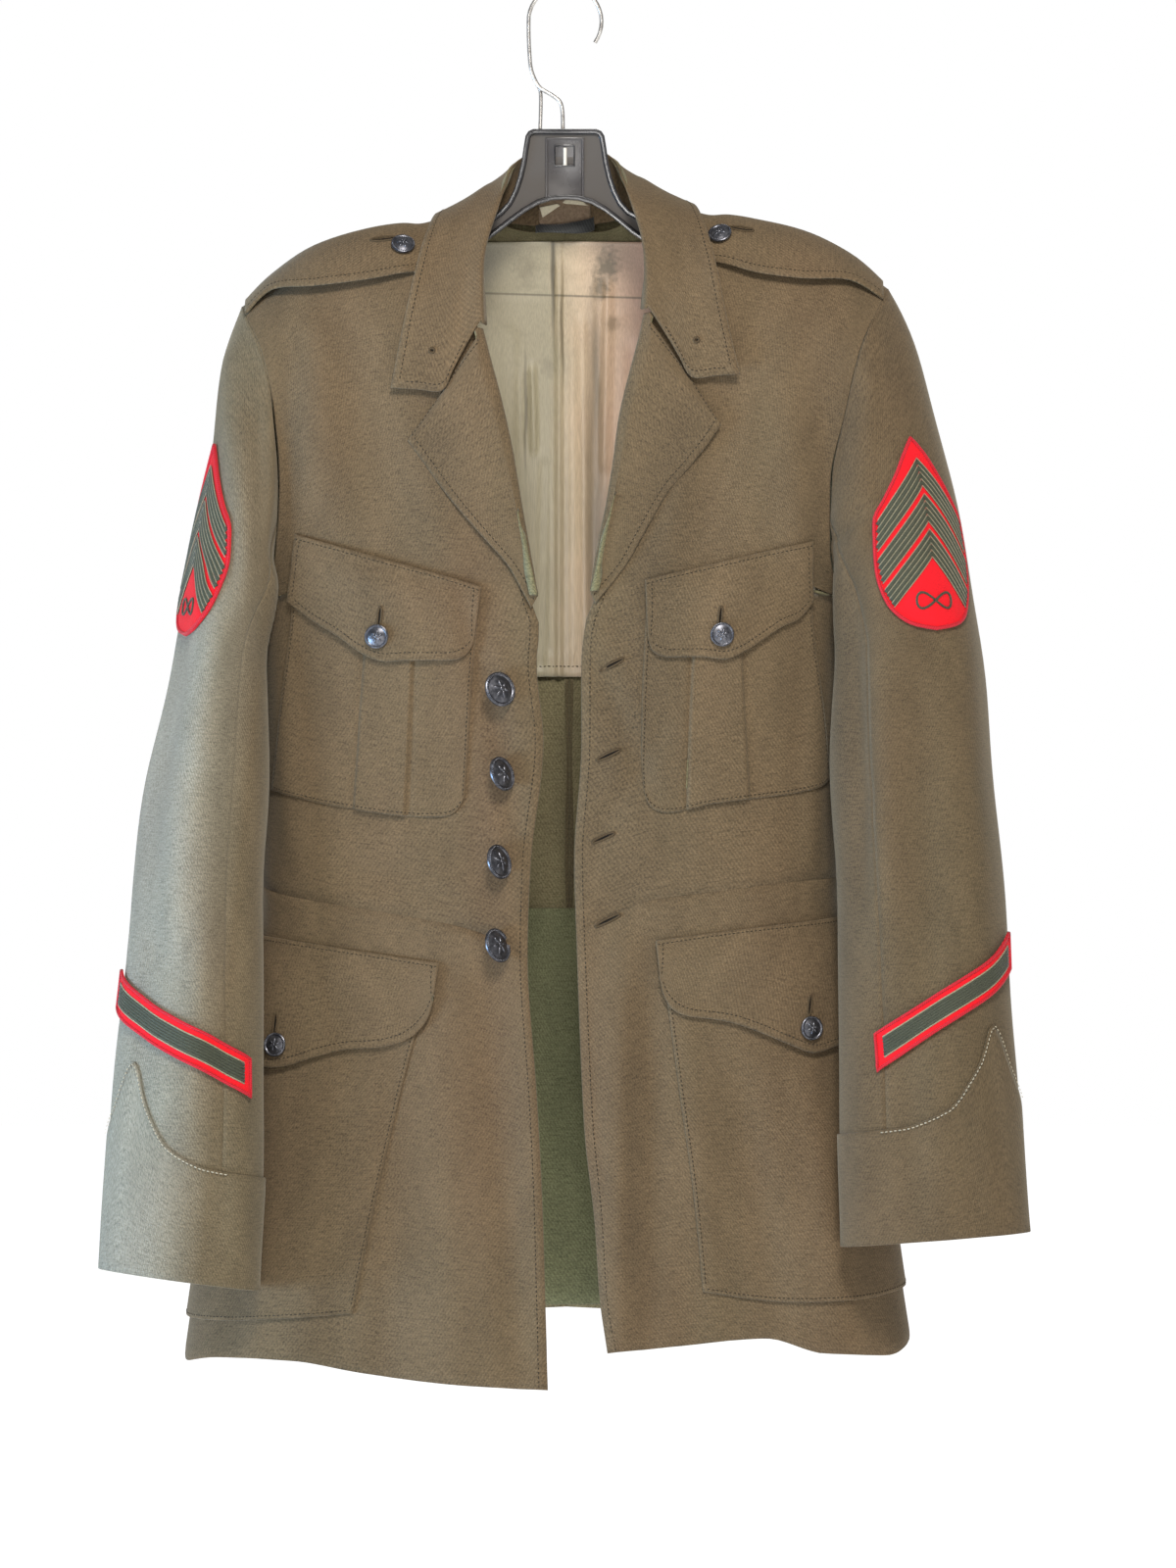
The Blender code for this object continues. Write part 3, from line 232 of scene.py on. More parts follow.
def fluteDepth(way, height):
    total = 0.0
    for centre, spread, depth, fade in coat["flutes"]:
        if height < fade:
            grow = ease((fade - height) / (fade + 960))
            total += depth * grow * math.exp(-((way - centre) / spread) ** 2)
    return total


def bodyPoint(side, way, height, lift=0.0):   # way round: 0 front middle, 1 side, 2 back middle
    height = round(height, 1)
    behind = way > 1
    middle, width = section(height)[:2]
    arcs, across = quarter(height, behind)
    turn = 2 - way if behind else way
    share = math.copysign(float(np.interp(abs(turn) * arcs[-1], arcs, across)), turn)
    x = middle + side * width * share
    spot = Vector((x, depthAt(x, height, behind), height))
    return spot + bodyNormal(spot) * (lift + fluteDepth(way, height))


def wayOf(side, across, height, behind=False):
    height = round(height, 1)
    middle, width = section(height)[:2]
    arcs, shareList = quarter(height, behind)
    share = side * (across - middle) / width
    way = math.copysign(float(np.interp(min(1.0, abs(share)), shareList, arcs)) / arcs[-1], share)
    return 2 - way if behind else way


def frontPoint(side, across, height, lift=0.0):
    return bodyPoint(side, wayOf(side, across, height), height, lift)


def roundPoint(side, distance, height, lift=0.0):   # a distance round the body from its middle line
    height = round(height, 1)
    middle = section(height)[0]
    reach = quarter(height, False)[0][-1]
    way = (abs(distance) - side * middle) / reach
    if way > 1:
        way = 1 + (way - 1) * reach / quarter(height, True)[0][-1]
    return bodyPoint(side, way, height, lift)


# Creases of the hanging cloth, listed one by one. Each is a line seen from the front or the back.

creases = {
    "front": (
        # from x, z, to x, z, width, rise (troughs are negative)
        (-200, -400, -186, -250, 13, -2.6), (-176, -245, -160, -375, 16, 1.6),
        (-150, -230, -120, -390, 20, -1.5), (-108, -300, -80, -400, 16, 1.2),
        (-196, -455, -190, -600, 9, 1.6), (-70, -425, -45, -520, 10, -1.3),
        (-48, -460, -24, -545, 8, 1.5), (-60, -600, -190, -640, 9, -1.4),
        (-52, -655, -150, -610, 7, -1.5), (-56, -640, -120, -585, 6, 1.0),
        (-40, -520, -26, -640, 9, -1.6), (-70, -590, -180, -600, 8, 0.9),
        (-52, -690, -30, -960, 14, -3.0), (-85, -700, -78, -965, 17, 2.6),
        (-118, -745, -122, -960, 14, -2.2), (-160, -760, -182, -950, 18, 1.8),
        (-215, -770, -232, -950, 16, -2.2), (-26, -700, -16, -940, 7, 1.8),
        (178, -300, 182, -410, 12, -2.4), (150, -240, 158, -380, 16, 1.5),
        (118, -235, 96, -390, 18, -1.4), (86, -300, 68, -400, 14, 1.1),
        (26, -470, 58, -560, 9, -1.6), (18, -440, 46, -500, 8, 1.4),
        (22, -590, 66, -520, 8, -1.4), (20, -640, 80, -600, 7, -1.5),
        (30, -655, 130, -625, 8, 1.0), (176, -455, 172, -600, 9, 1.5),
        (40, -668, 34, -940, 13, 2.6), (56, -700, 58, -935, 11, -2.4),
        (82, -720, 104, -935, 16, 2.0), (120, -760, 148, -920, 15, -1.8),
        (170, -760, 196, -930, 17, 2.0), (14, -690, 26, -930, 7, -1.6),
    ),
    "back": (
        (-190, -250, -150, -330, 16, -2.2), (-120, -230, -95, -420, 22, 1.8),
        (-60, -250, -50, -520, 18, -1.5), (-185, -420, -130, -470, 12, -1.8),
        (-170, -560, -60, -640, 14, -1.8), (-140, -600, -30, -660, 11, 1.4),
        (-195, -640, -210, -900, 18, 2.2), (-120, -690, -140, -920, 20, -2.4),
        (-60, -700, -66, -920, 17, 2.2), (180, -250, 140, -340, 17, -2.3),
        (110, -235, 88, -430, 21, 1.7), (48, -260, 44, -540, 16, -1.3),
        (176, -430, 118, -480, 12, -1.7), (160, -560, 44, -630, 13, -1.8),
        (120, -620, 20, -655, 10, 1.2), (60, -690, 72, -920, 18, -2.2),
        (120, -700, 142, -920, 18, 2.3), (186, -650, 204, -900, 16, -2.0),
    ),
    "sleeveFront": (
        (-232, -262, -212, -420, 13, 2.4), (-214, -300, -206, -470, 9, -2.6),
        (-240, -420, -268, -640, 14, 2.6), (-262, -400, -286, -610, 11, -2.0),
        (-222, -450, -232, -700, 12, -2.3), (-248, -650, -258, -800, 15, 1.9),
        (-280, -600, -296, -790, 12, -1.6), (-224, -700, -222, -880, 10, 1.5),
        (-262, -690, -300, -640, 9, -1.2), (-236, -560, -290, -520, 12, -1.1),
        (214, -245, 196, -400, 12, 2.2), (204, -365, 190, -382, 6, -3.4),
        (196, -395, 205, -620, 10, -2.8), (216, -470, 222, -700, 12, 2.4),
        (244, -460, 252, -720, 14, -2.0), (272, -450, 288, -700, 13, 1.9),
        (205, -690, 206, -860, 11, 1.6), (236, -720, 240, -850, 13, -1.5),
        (280, -720, 300, -850, 12, 1.2), (214, -560, 270, -520, 11, -1.2),
        (226, -420, 262, -470, 10, -1.0),
    ),
    "sleeveBack": (
        (-224, -330, -250, -520, 14, 2.2), (-246, -560, -214, -600, 9, -2.6),
        (-252, -600, -216, -645, 10, 1.8), (-284, -640, -222, -672, 9, -2.4),
        (-262, -700, -270, -860, 14, 1.8), (-292, -660, -304, -840, 12, -1.6),
        (214, -330, 236, -520, 14, 2.2), (204, -560, 246, -606, 9, -2.5),
        (206, -610, 256, -650, 10, 1.8), (208, -650, 276, -690, 9, -2.3),
        (236, -700, 248, -840, 14, 1.8), (282, -640, 300, -830, 12, -1.6),
    ),
}
ripples = ((0.031, 0.012, 0.4, 0.5), (-0.017, 0.041, 1.9, 0.45), (0.054, -0.023, 4.0, 0.3),
           (0.083, 0.037, 2.6, 0.18))


def creaseLift(points, rows):
    total = np.zeros(points.shape[:-1])
    for x0, z0, x1, z1, width, rise in rows:
        length = math.hypot(x1 - x0, z1 - z0)
        along = ((points[..., 0] - x0) * (x1 - x0) + (points[..., 2] - z0) * (z1 - z0)) / length ** 2
        hold = np.clip(along, 0, 1)
        away = np.hypot(points[..., 0] - mix(x0, x1, hold), points[..., 2] - mix(z0, z1, hold))
        fade = 0.35 + 0.65 * np.sin(np.pi * np.clip(0.12 + 0.76 * hold, 0, 1))
        near = np.exp(-(away / width) ** 2) - 0.4 * np.exp(-(away / width / 1.9) ** 2)
        total += rise * fade * near * 2.6
    return total


def settle(points, normals, part="body"):   # lays points of a surface on the creased cloth
    names = ("front", "back") if part == "body" else ("sleeveFront", "sleeveBack")
    facing = normals[..., 1]
    lift = creaseLift(points, creases[names[0]]) * ease((-facing + 0.1) / 0.6)
    lift += creaseLift(points, creases[names[1]]) * ease((facing + 0.1) / 0.6)
    for kx, kz, phase, rise in ripples:
        lift += rise * np.sin(kx * points[..., 0] + kz * points[..., 2] + phase + 0.02 * points[..., 1])
    if part == "body":   # the shoulders and the collar seam lie smooth
        lift *= 0.15 + 0.85 * ease((-190 - points[..., 2]) / 60)
    return points + normals * lift[..., None]


# Cloth pieces

def surfaceNormals(grid, closed=False):
    if closed:
        across = np.roll(grid, -1, axis=1) - np.roll(grid, 1, axis=1)
    else:
        across = np.gradient(grid, axis=1)
    cross = np.cross(across, np.gradient(grid, axis=0))
    return cross / np.maximum(np.linalg.norm(cross, axis=-1, keepdims=True), 1e-9)


def finer(grid, times, axis=0):   # more rows or columns on a smooth curve through those of a grid
    grid = np.moveaxis(np.asarray(grid, float), axis, 0)
    padded = np.concatenate([2 * grid[:1] - grid[1:2], grid, 2 * grid[-1:] - grid[-2:-1]])
    out = []
    for i in range(1, len(padded) - 2):
        p0, p1, p2, p3 = padded[i - 1:i + 3]
        for k in range(times):
            t = k / times
            spot = 2 * p1 + (p2 - p0) * t + (2 * p0 - 5 * p1 + 4 * p2 - p3) * t ** 2
            out.append((spot + (3 * p1 - p0 - 3 * p2 + p3) * t ** 3) * 0.5)
    out.append(grid[-1])
    return np.moveaxis(np.array(out), 0, axis)


def relaxed(grid, passes, closed=False):   # evens out a grid without moving its first and last rows
    grid = grid.copy()
    for _ in range(passes):
        new = (np.roll(grid, 1, axis=1) + np.roll(grid, -1, axis=1) + 2 * grid) / 4
        if not closed:
            new[:, 0], new[:, -1] = grid[:, 0], grid[:, -1]
        middle = (new[:-2] + new[2:] + 2 * new[1:-1]) / 4
        grid[1:-1] = middle
    return grid


surfaces = {}   # the outer points and normals of each cloth piece, for stitches and trims


def clothPiece(name, grid, material, wall=2.0, facing=(0, -1, 0), closed=False, part=None):
    grid = np.array([[tuple(p) for p in line] for line in grid]) if not isinstance(grid, np.ndarray) else grid
    normals = surfaceNormals(grid, closed)
    probe = normals[len(grid) // 2, 0 if closed else grid.shape[1] // 2]
    if np.dot(probe, facing) < 0:
        normals = -normals
    if part:
        grid = settle(grid, normals, part)
        again = surfaceNormals(grid, closed)
        normals = again if np.sum(again * normals) > 0 else -again
    surfaces[name] = (grid, normals, closed)
    return wallMesh(name, grid, normals, material, wall, closed)


def wallMesh(name, outer, normals, material, wall, closed=False):
    rows, cols = outer.shape[:2]
    inner = outer - normals * wall
    edgeOut = (outer + inner) / 2
    stretch = wall * 0.3
    if not closed:
        side = outer[:, 0] - outer[:, 1]
        edgeOut[:, 0] += side / np.linalg.norm(side, axis=-1, keepdims=True) * stretch
        side = outer[:, -1] - outer[:, -2]
        edgeOut[:, -1] += side / np.linalg.norm(side, axis=-1, keepdims=True) * stretch
    side = outer[0] - outer[1]
    edgeOut[0] += side / np.maximum(np.linalg.norm(side, axis=-1, keepdims=True), 1e-9) * stretch
    side = outer[-1] - outer[-2]
    edgeOut[-1] += side / np.maximum(np.linalg.norm(side, axis=-1, keepdims=True), 1e-9) * stretch
    number = np.arange(rows * cols).reshape(rows, cols)
    faces = []
    wrap = np.concatenate([number, number[:, :1]], axis=1) if closed else number
    a, b, c, d = wrap[:-1, :-1], wrap[:-1, 1:], wrap[1:, 1:], wrap[1:, :-1]
    quads = np.stack([a, b, c, d], axis=-1).reshape(-1, 4)
    shift = rows * cols
    faces.append(quads)
    faces.append(quads[:, ::-1] + shift)
    if closed:
        loops = [wrap[0], wrap[-1][::-1]]
    else:
        loops = [np.concatenate([wrap[0], wrap[1:, -1], wrap[-1, :-1][::-1], wrap[:-1, 0][::-1]])]
    spots = [outer.reshape(-1, 3), inner.reshape(-1, 3)]
    count = 2 * shift
    flatEdge = edgeOut.reshape(-1, 3)
    edgeIndex = []
    for loop in loops:
        if closed:
            ids = np.arange(cols) + count
            spots.append(flatEdge[loop[:-1]])
            ring = np.append(ids, ids[0])
            count += cols
            edgeIndex.append(loop[:-1])
        else:
            ids = np.arange(len(loop) - 1) + count
            spots.append(flatEdge[loop[:-1]])
            ring = np.append(ids, ids[0])
            count += len(loop) - 1
            edgeIndex.append(loop[:-1])
        first, second = loop[:-1], loop[1:]
        faces.append(np.stack([second, first, ring[:-1], ring[1:]], axis=1))
        faces.append(np.stack([ring[1:], ring[:-1], first + shift, second + shift], axis=1))
    spots = np.concatenate(spots) * mm
    faces = np.concatenate(faces)
    # outward faces: the outer quads have to turn the way the normals point
    i, j = rows // 2, cols // 2 if not closed else 0
    turn = np.cross(wrapPoint(outer, i, j + 1) - outer[i, j], outer[min(i + 1, rows - 1), j] - outer[i, j])
    if np.dot(turn, normals[i, j]) < 0:
        faces = faces[:, ::-1]
    mesh = bpy.data.meshes.new(name)
    mesh.from_pydata(spots.tolist(), [], faces.tolist())
    # the cloth's own map, in metres along and across the piece
    girth = outer if not closed else np.concatenate([outer, outer[:, :1]], axis=1)
    stepU = np.linalg.norm(np.diff(girth, axis=1), axis=-1).mean(axis=0)
    stepV = np.linalg.norm(np.diff(outer, axis=0), axis=-1).mean(axis=1)
    u, v = np.concatenate([[0], np.cumsum(stepU)]) * mm, np.concatenate([[0], np.cumsum(stepV)]) * mm
    mapU, mapV = np.meshgrid(u[:cols], v)
    flat = np.stack([mapU, -mapV], axis=-1).reshape(-1, 2)
    place = np.concatenate([flat, flat] + [flat[index] for index in edgeIndex])
    layer = mesh.uv_layers.new(name="cloth")
    corner = np.zeros(len(mesh.loops), np.int64)
    mesh.loops.foreach_get("vertex_index", corner)
    uv = place[corner]
    if closed:   # the last column's faces end at the full girth
        wide = uv.reshape(-1, 4, 2)
        reach = wide[..., 0].max(axis=1) - wide[..., 0].min(axis=1) > u[-1] / 2
        wide[..., 0] = np.where(reach[:, None] & (wide[..., 0] < u[-1] / 4), wide[..., 0] + u[-1],
                                wide[..., 0])
        uv = wide.reshape(-1, 2)
    layer.data.foreach_set("uv", uv.astype(np.float32).ravel())
    inner = mesh.attributes.new("inner", "FLOAT", "POINT")
    inner.data.foreach_set("value", np.repeat((0.0, 1.0, 0.0),
                                              (shift, shift, count - 2 * shift)).astype(np.float32))
    mesh.shade_smooth()
    return asPiece(name + "_cloth", mesh, material)


def asPiece(name, mesh, material):
    mesh.materials.append(material)
    piece = bpy.data.objects.new(name, mesh)
    bpy.context.scene.collection.objects.link(piece)
    return piece


def wrapPoint(grid, i, j):
    return grid[i, j % grid.shape[1]]


def keep(piece, nodes):   # ties a finished piece to the frame
    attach(piece, "root")
    if nodes:
        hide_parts(*nodes)
    return piece


# Materials: shared effects are node groups, each finish has its own values

def newGroup(name, inputs, outputs):
    group = bpy.data.node_groups.new(name, "ShaderNodeTree")
    for label, kind, value in inputs:
        socket = group.interface.new_socket(label, in_out="INPUT", socket_type=kind)
        if value is not None:
            socket.default_value = value
    for label, kind in outputs:
        group.interface.new_socket(label, in_out="OUTPUT", socket_type=kind)
    return group, group.nodes.new("NodeGroupInput"), group.nodes.new("NodeGroupOutput")


def addNode(tree, kind, values=(), **settings):
    node = tree.nodes.new(kind)
    for key, value in settings.items():
        setattr(node, key, value)
    for key, value in dict(values).items():
        if isinstance(value, bpy.types.NodeSocket):
            tree.links.new(value, node.inputs[key])
        else:
            node.inputs[key].default_value = value
    return node


def stretched(tree, vector, scale):
    return addNode(tree, "ShaderNodeVectorMath", {0: vector, 1: scale}, operation="MULTIPLY").outputs[0]


def lengthOf(tree, vector, scale):
    values = {0: stretched(tree, vector, scale)}
    return addNode(tree, "ShaderNodeVectorMath", values, operation="LENGTH").outputs["Value"]


def moved(tree, vector, by, operation="ADD"):
    return addNode(tree, "ShaderNodeVectorMath", {0: vector, 1: by}, operation=operation).outputs[0]


def mapped(tree, value, start, end, high=1.0):   # nothing at start, high at end
    return addNode(tree, "ShaderNodeMapRange", {0: value, 1: start, 2: end, 3: 0.0, 4: high}).outputs[0]


def noiseAt(tree, vector, scale, detail=2.0, rough=0.5):
    values = {"Vector": vector, "Scale": scale, "Detail": detail, "Roughness": rough}
    return addNode(tree, "ShaderNodeTexNoise", values).outputs["Fac"]


def sumOf(tree, a, b, operation="ADD", third=None):
    values = {0: a, 1: b} if third is None else {0: a, 1: b, 2: third}
    return addNode(tree, "ShaderNodeMath", values, operation=operation).outputs[0]


def blendOf(tree, share, a, b, way="MIX"):
    node = addNode(tree, "ShaderNodeMix", data_type="RGBA", blend_type=way)
    for index, value in ((0, share), (6, a), (7, b)):
        if isinstance(value, bpy.types.NodeSocket):
            tree.links.new(value, node.inputs[index])
        else:
            node.inputs[index].default_value = value
    return node.outputs[2]


def ramp(tree, value, stops):
    node = addNode(tree, "ShaderNodeValToRGB", {"Fac": value})
    marks = node.color_ramp.elements
    while len(marks) < len(stops):
        marks.new(0.5)
    for mark, (place, colour) in zip(marks, stops):
        mark.position, mark.color = place, colour
    return node.outputs["Color"]


def makeWeaveGroup():   # heathered twill: diagonal ribs, slubs along the warp and mottled fibres
    group, inside, outside = newGroup(
        "heatheredTwill",
        (("Map", "NodeSocketVector", None), ("Pitch", "NodeSocketFloat", 700.0),
         ("Rib", "NodeSocketFloat", 0.5)),
        (("Rib", "NodeSocketFloat"), ("Heather", "NodeSocketFloat"), ("Mottle", "NodeSocketFloat"),
         ("Height", "NodeSocketFloat")),
    )
    vector = inside.outputs["Map"]
    slope = addNode(group, "ShaderNodeVectorMath", {0: vector, 1: (0.86, 0.5, 0.0)},
                    operation="DOT_PRODUCT").outputs["Value"]
    wobble = sumOf(group, noiseAt(group, vector, 160.0, 1.0), 0.0008, "MULTIPLY")
    phase = sumOf(group, sumOf(group, slope, wobble), inside.outputs["Pitch"], "MULTIPLY")
    rib = sumOf(group, sumOf(group, sumOf(group, phase, 6.2832, "MULTIPLY"), 0.0, "SINE"), 0.5,
                "MULTIPLY_ADD", 0.5)
    slub = noiseAt(group, stretched(group, vector, (1.0, 0.5, 1.0)), 850.0, 3.0, 0.7)
    fibre = noiseAt(group, stretched(group, vector, (0.55, 1.0, 1.0)), 1250.0, 2.0, 0.6)
    pick = noiseAt(group, stretched(group, vector, (0.14, 1.0, 1.0)), 760.0, 2.0, 0.6)
    heather = sumOf(group, sumOf(group, sumOf(group, slub, 0.45, "MULTIPLY"),
                                 sumOf(group, fibre, 0.3, "MULTIPLY")),
                    sumOf(group, pick, 0.25, "MULTIPLY"))
    mottle = noiseAt(group, stretched(group, vector, (1.0, 0.45, 1.0)), 30.0, 4.0, 0.6)
    height = sumOf(group, sumOf(group, rib, inside.outputs["Rib"], "MULTIPLY"), heather)
    for label, value in (("Rib", rib), ("Heather", heather), ("Mottle", mottle), ("Height", height)):
        group.links.new(value, outside.inputs[label])
    return group


def newMaterial(name, roughness=0.6, metallic=0.0):
    material = bpy.data.materials.new(name)
    material.use_nodes = True
    shader = material.node_tree.nodes["Principled BSDF"]
    shader.inputs["Roughness"].default_value = roughness
    shader.inputs["Metallic"].default_value = metallic
    return material, material.node_tree, shader


def bumpTo(tree, shader, height, strength, distance):
    bump = addNode(tree, "ShaderNodeBump", {"Height": height, "Strength": strength, "Distance": distance})
    tree.links.new(bump.outputs["Normal"], shader.inputs["Normal"])


wool = {
    "light": (0.375, 0.285, 0.190, 1),
    "dark": (0.058, 0.045, 0.031, 1),
    "brown": (0.215, 0.142, 0.090, 1),
    "olive": (0.140, 0.124, 0.075, 1),
    "inside": (1.35, 1.72, 1.70, 1),     # tint of the inner faces
    "paintedWindowLight": (1.65, 2.05, 2.75, 1),       # painted window light: a cool tint on the left sleeve's outer side
    "rust": (0.150, 0.078, 0.046, 1),
    # painted shade: the dark colour laid where folds cast shadow
    "paintedShade": (0.030, 0.030, 0.022, 1),
    # x and z of the middle of each place, painted shade beside folds and reddish marks, reach across, share
    # of it down, strength
    "paintedShadePlaces": ((-0.090, -0.335, 0.020, 0.35, 0.6), (0.078, -0.335, 0.020, 0.3, 0.65),
                    (0.062, -0.40, 0.018, 0.3, 0.6), (0.055, -0.48, 0.026, 0.35, 0.7),
                    (0.030, -0.56, 0.014, 0.3, 0.45), (-0.200, -0.36, 0.020, 0.25, 0.4),
                    (0.190, -0.30, 0.020, 0.3, 0.5), (0.190, -0.50, 0.018, 0.12, 0.5),
                    (-0.195, -0.52, 0.014, 0.12, 0.4), (-0.165, -0.86, 0.050, 0.3, 0.4),
                    (0.050, -0.80, 0.016, 0.09, 0.5), (-0.150, -0.43, 0.030, 0.4, 0.35)),
    "rustPlaces": ((-0.052, -0.56, 0.016, 0.16, 0.75), (-0.066, -0.43, 0.020, 0.35, 0.6),
                   (-0.10, -0.425, 0.03, 1.2, 0.35), (-0.17, -0.31, 0.02, 0.3, 0.3),
                   (0.16, -0.73, 0.05, 0.4, 0.25), (-0.055, -0.75, 0.03, 0.25, 0.45),
                   (0.02, -0.75, 0.012, 0.1, 0.35)),
    "ribPitch": 520.0,      # ribs to the metre
    "sheen": 0.15,
    "roughness": 0.92,
}


def woolMaterial(name, brightness=1.0, shift=0.0, tint=(1, 1, 1, 1), paintedWindowLight=False):
    material, tree, shader = newMaterial(name, wool["roughness"])
    cloth = addNode(tree, "ShaderNodeUVMap", uv_map="cloth").outputs["UV"]
    weave = addNode(tree, "ShaderNodeGroup", node_tree=weaveGroup)
    tree.links.new(cloth, weave.inputs["Map"])
    weave.inputs["Pitch"].default_value = wool["ribPitch"]
    place = addNode(tree, "ShaderNodeTexCoord").outputs["Object"]
    drift = noiseAt(tree, stretched(tree, place, (1.0, 1.0, 0.3)), 7.0, 3.0, 0.55)
    base = blendOf(tree, sumOf(tree, drift, 2.6, "MULTIPLY_ADD", -0.8 + shift), wool["olive"], wool["brown"])
    parts = addNode(tree, "ShaderNodeSeparateXYZ", {"Vector": place}).outputs
    # reddish marks, then painted shade where folds cast shadow, on the front faces only
    marks = [(kind, spot) for kind in ("rust", "paintedShade") for spot in wool[kind + "Places"]]
    for kind, (x, z, reach, share, strength) in marks:
        away = moved(tree, place, (x, 0.0, z), "SUBTRACT")
        near = mapped(tree, lengthOf(tree, away, (1.0, 0.0, share)), reach * 1.5, reach * 0.3, strength)
        front = mapped(tree, parts["Y"], 0.0, -0.03)
        base = blendOf(tree, sumOf(tree, near, front, "MULTIPLY"), base, wool[kind])
    contrast = sumOf(tree, weave.outputs["Heather"], 4.8, "MULTIPLY_ADD", -1.75)
    heathered = blendOf(tree, contrast, wool["dark"], wool["light"])
    colour = blendOf(tree, 0.58, base, heathered)
    ribbed = blendOf(tree, sumOf(tree, weave.outputs["Rib"], 0.24, "MULTIPLY"), colour, wool["dark"])
    level = sumOf(tree, weave.outputs["Mottle"], 0.6 * brightness, "MULTIPLY_ADD", 0.7 * brightness)
    grey = {"Red": level, "Green": level, "Blue": level}
    spread = addNode(tree, "ShaderNodeCombineColor", grey).outputs["Color"]
    final = blendOf(tree, 1.0, blendOf(tree, 1.0, ribbed, spread, "MULTIPLY"), tint, "MULTIPLY")
    inner = addNode(tree, "ShaderNodeAttribute", attribute_name="inner").outputs["Fac"]
    final = blendOf(tree, inner, final, blendOf(tree, 1.0, final, wool["inside"], "MULTIPLY"))
    if paintedWindowLight:   # painted window light, stronger to the outer side and down the sleeve
        outer = sumOf(tree, parts["X"], -28.0, "MULTIPLY_ADD", -6.3)
        reach = sumOf(tree, outer, sumOf(tree, parts["Z"], 2.6, "MULTIPLY_ADD", 1.3))
        down = mapped(tree, parts["Z"], -0.30, -0.46)
        reach = sumOf(tree, mapped(tree, reach, -0.35, 0.75), down, "MULTIPLY")
        final = blendOf(tree, reach, final, blendOf(tree, 1.0, final, wool["paintedWindowLight"], "MULTIPLY"))
    tree.links.new(final, shader.inputs["Base Color"])
    shader.inputs["Sheen Weight"].default_value = wool["sheen"]
    shader.inputs["Sheen Roughness"].default_value = 0.45
    shader.inputs["Sheen Tint"].default_value = (0.80, 0.76, 0.62, 1)
    shader.inputs["Specular IOR Level"].default_value = 0.22
    bumpTo(tree, shader, weave.outputs["Height"], 0.35, 0.0005)
    return material


satin = {
    "green": (0.290, 0.255, 0.165, 1),
    "tan": (0.480, 0.370, 0.245, 1),
    "red": (0.450, 0.285, 0.200, 1),
    # dark colour of the lining's stains, also used for its painted shade
    "stainAndShade": (0.075, 0.060, 0.030, 1),
    # centre x, z and reach of each stain, in metres, with its strength
    "stains": ((0.029, -0.193, 0.012, 0.8), (0.024, -0.208, 0.008, 0.7), (-0.027, -0.196, 0.011, 0.35),
               (0.033, -0.232, 0.006, 0.4), (-0.012, -0.262, 0.007, 0.25)),
    # long dark marks, painted shade in the pleat and along creases among them: x, z, half width, share of it
    # down, strength
    "marks": ((-0.0055, -0.196, 0.0014, 0.035, 0.95), (0.0005, -0.235, 0.0011, 0.03, 0.6),
              (0.0235, -0.33, 0.0070, 0.07, 0.6), (-0.0245, -0.292, 0.0011, 0.03, 0.75),
              (0.030, -0.42, 0.010, 0.16, 0.45), (0.0245, -0.262, 0.0025, 0.08, 0.5),
              (-0.045, -0.21, 0.012, 0.5, 0.2), (0.002, -0.43, 0.006, 0.06, 0.22),
              (-0.03, -0.40, 0.010, 0.12, 0.2)),
    "seam": (-0.2125, 0.0011, 0.7),
}


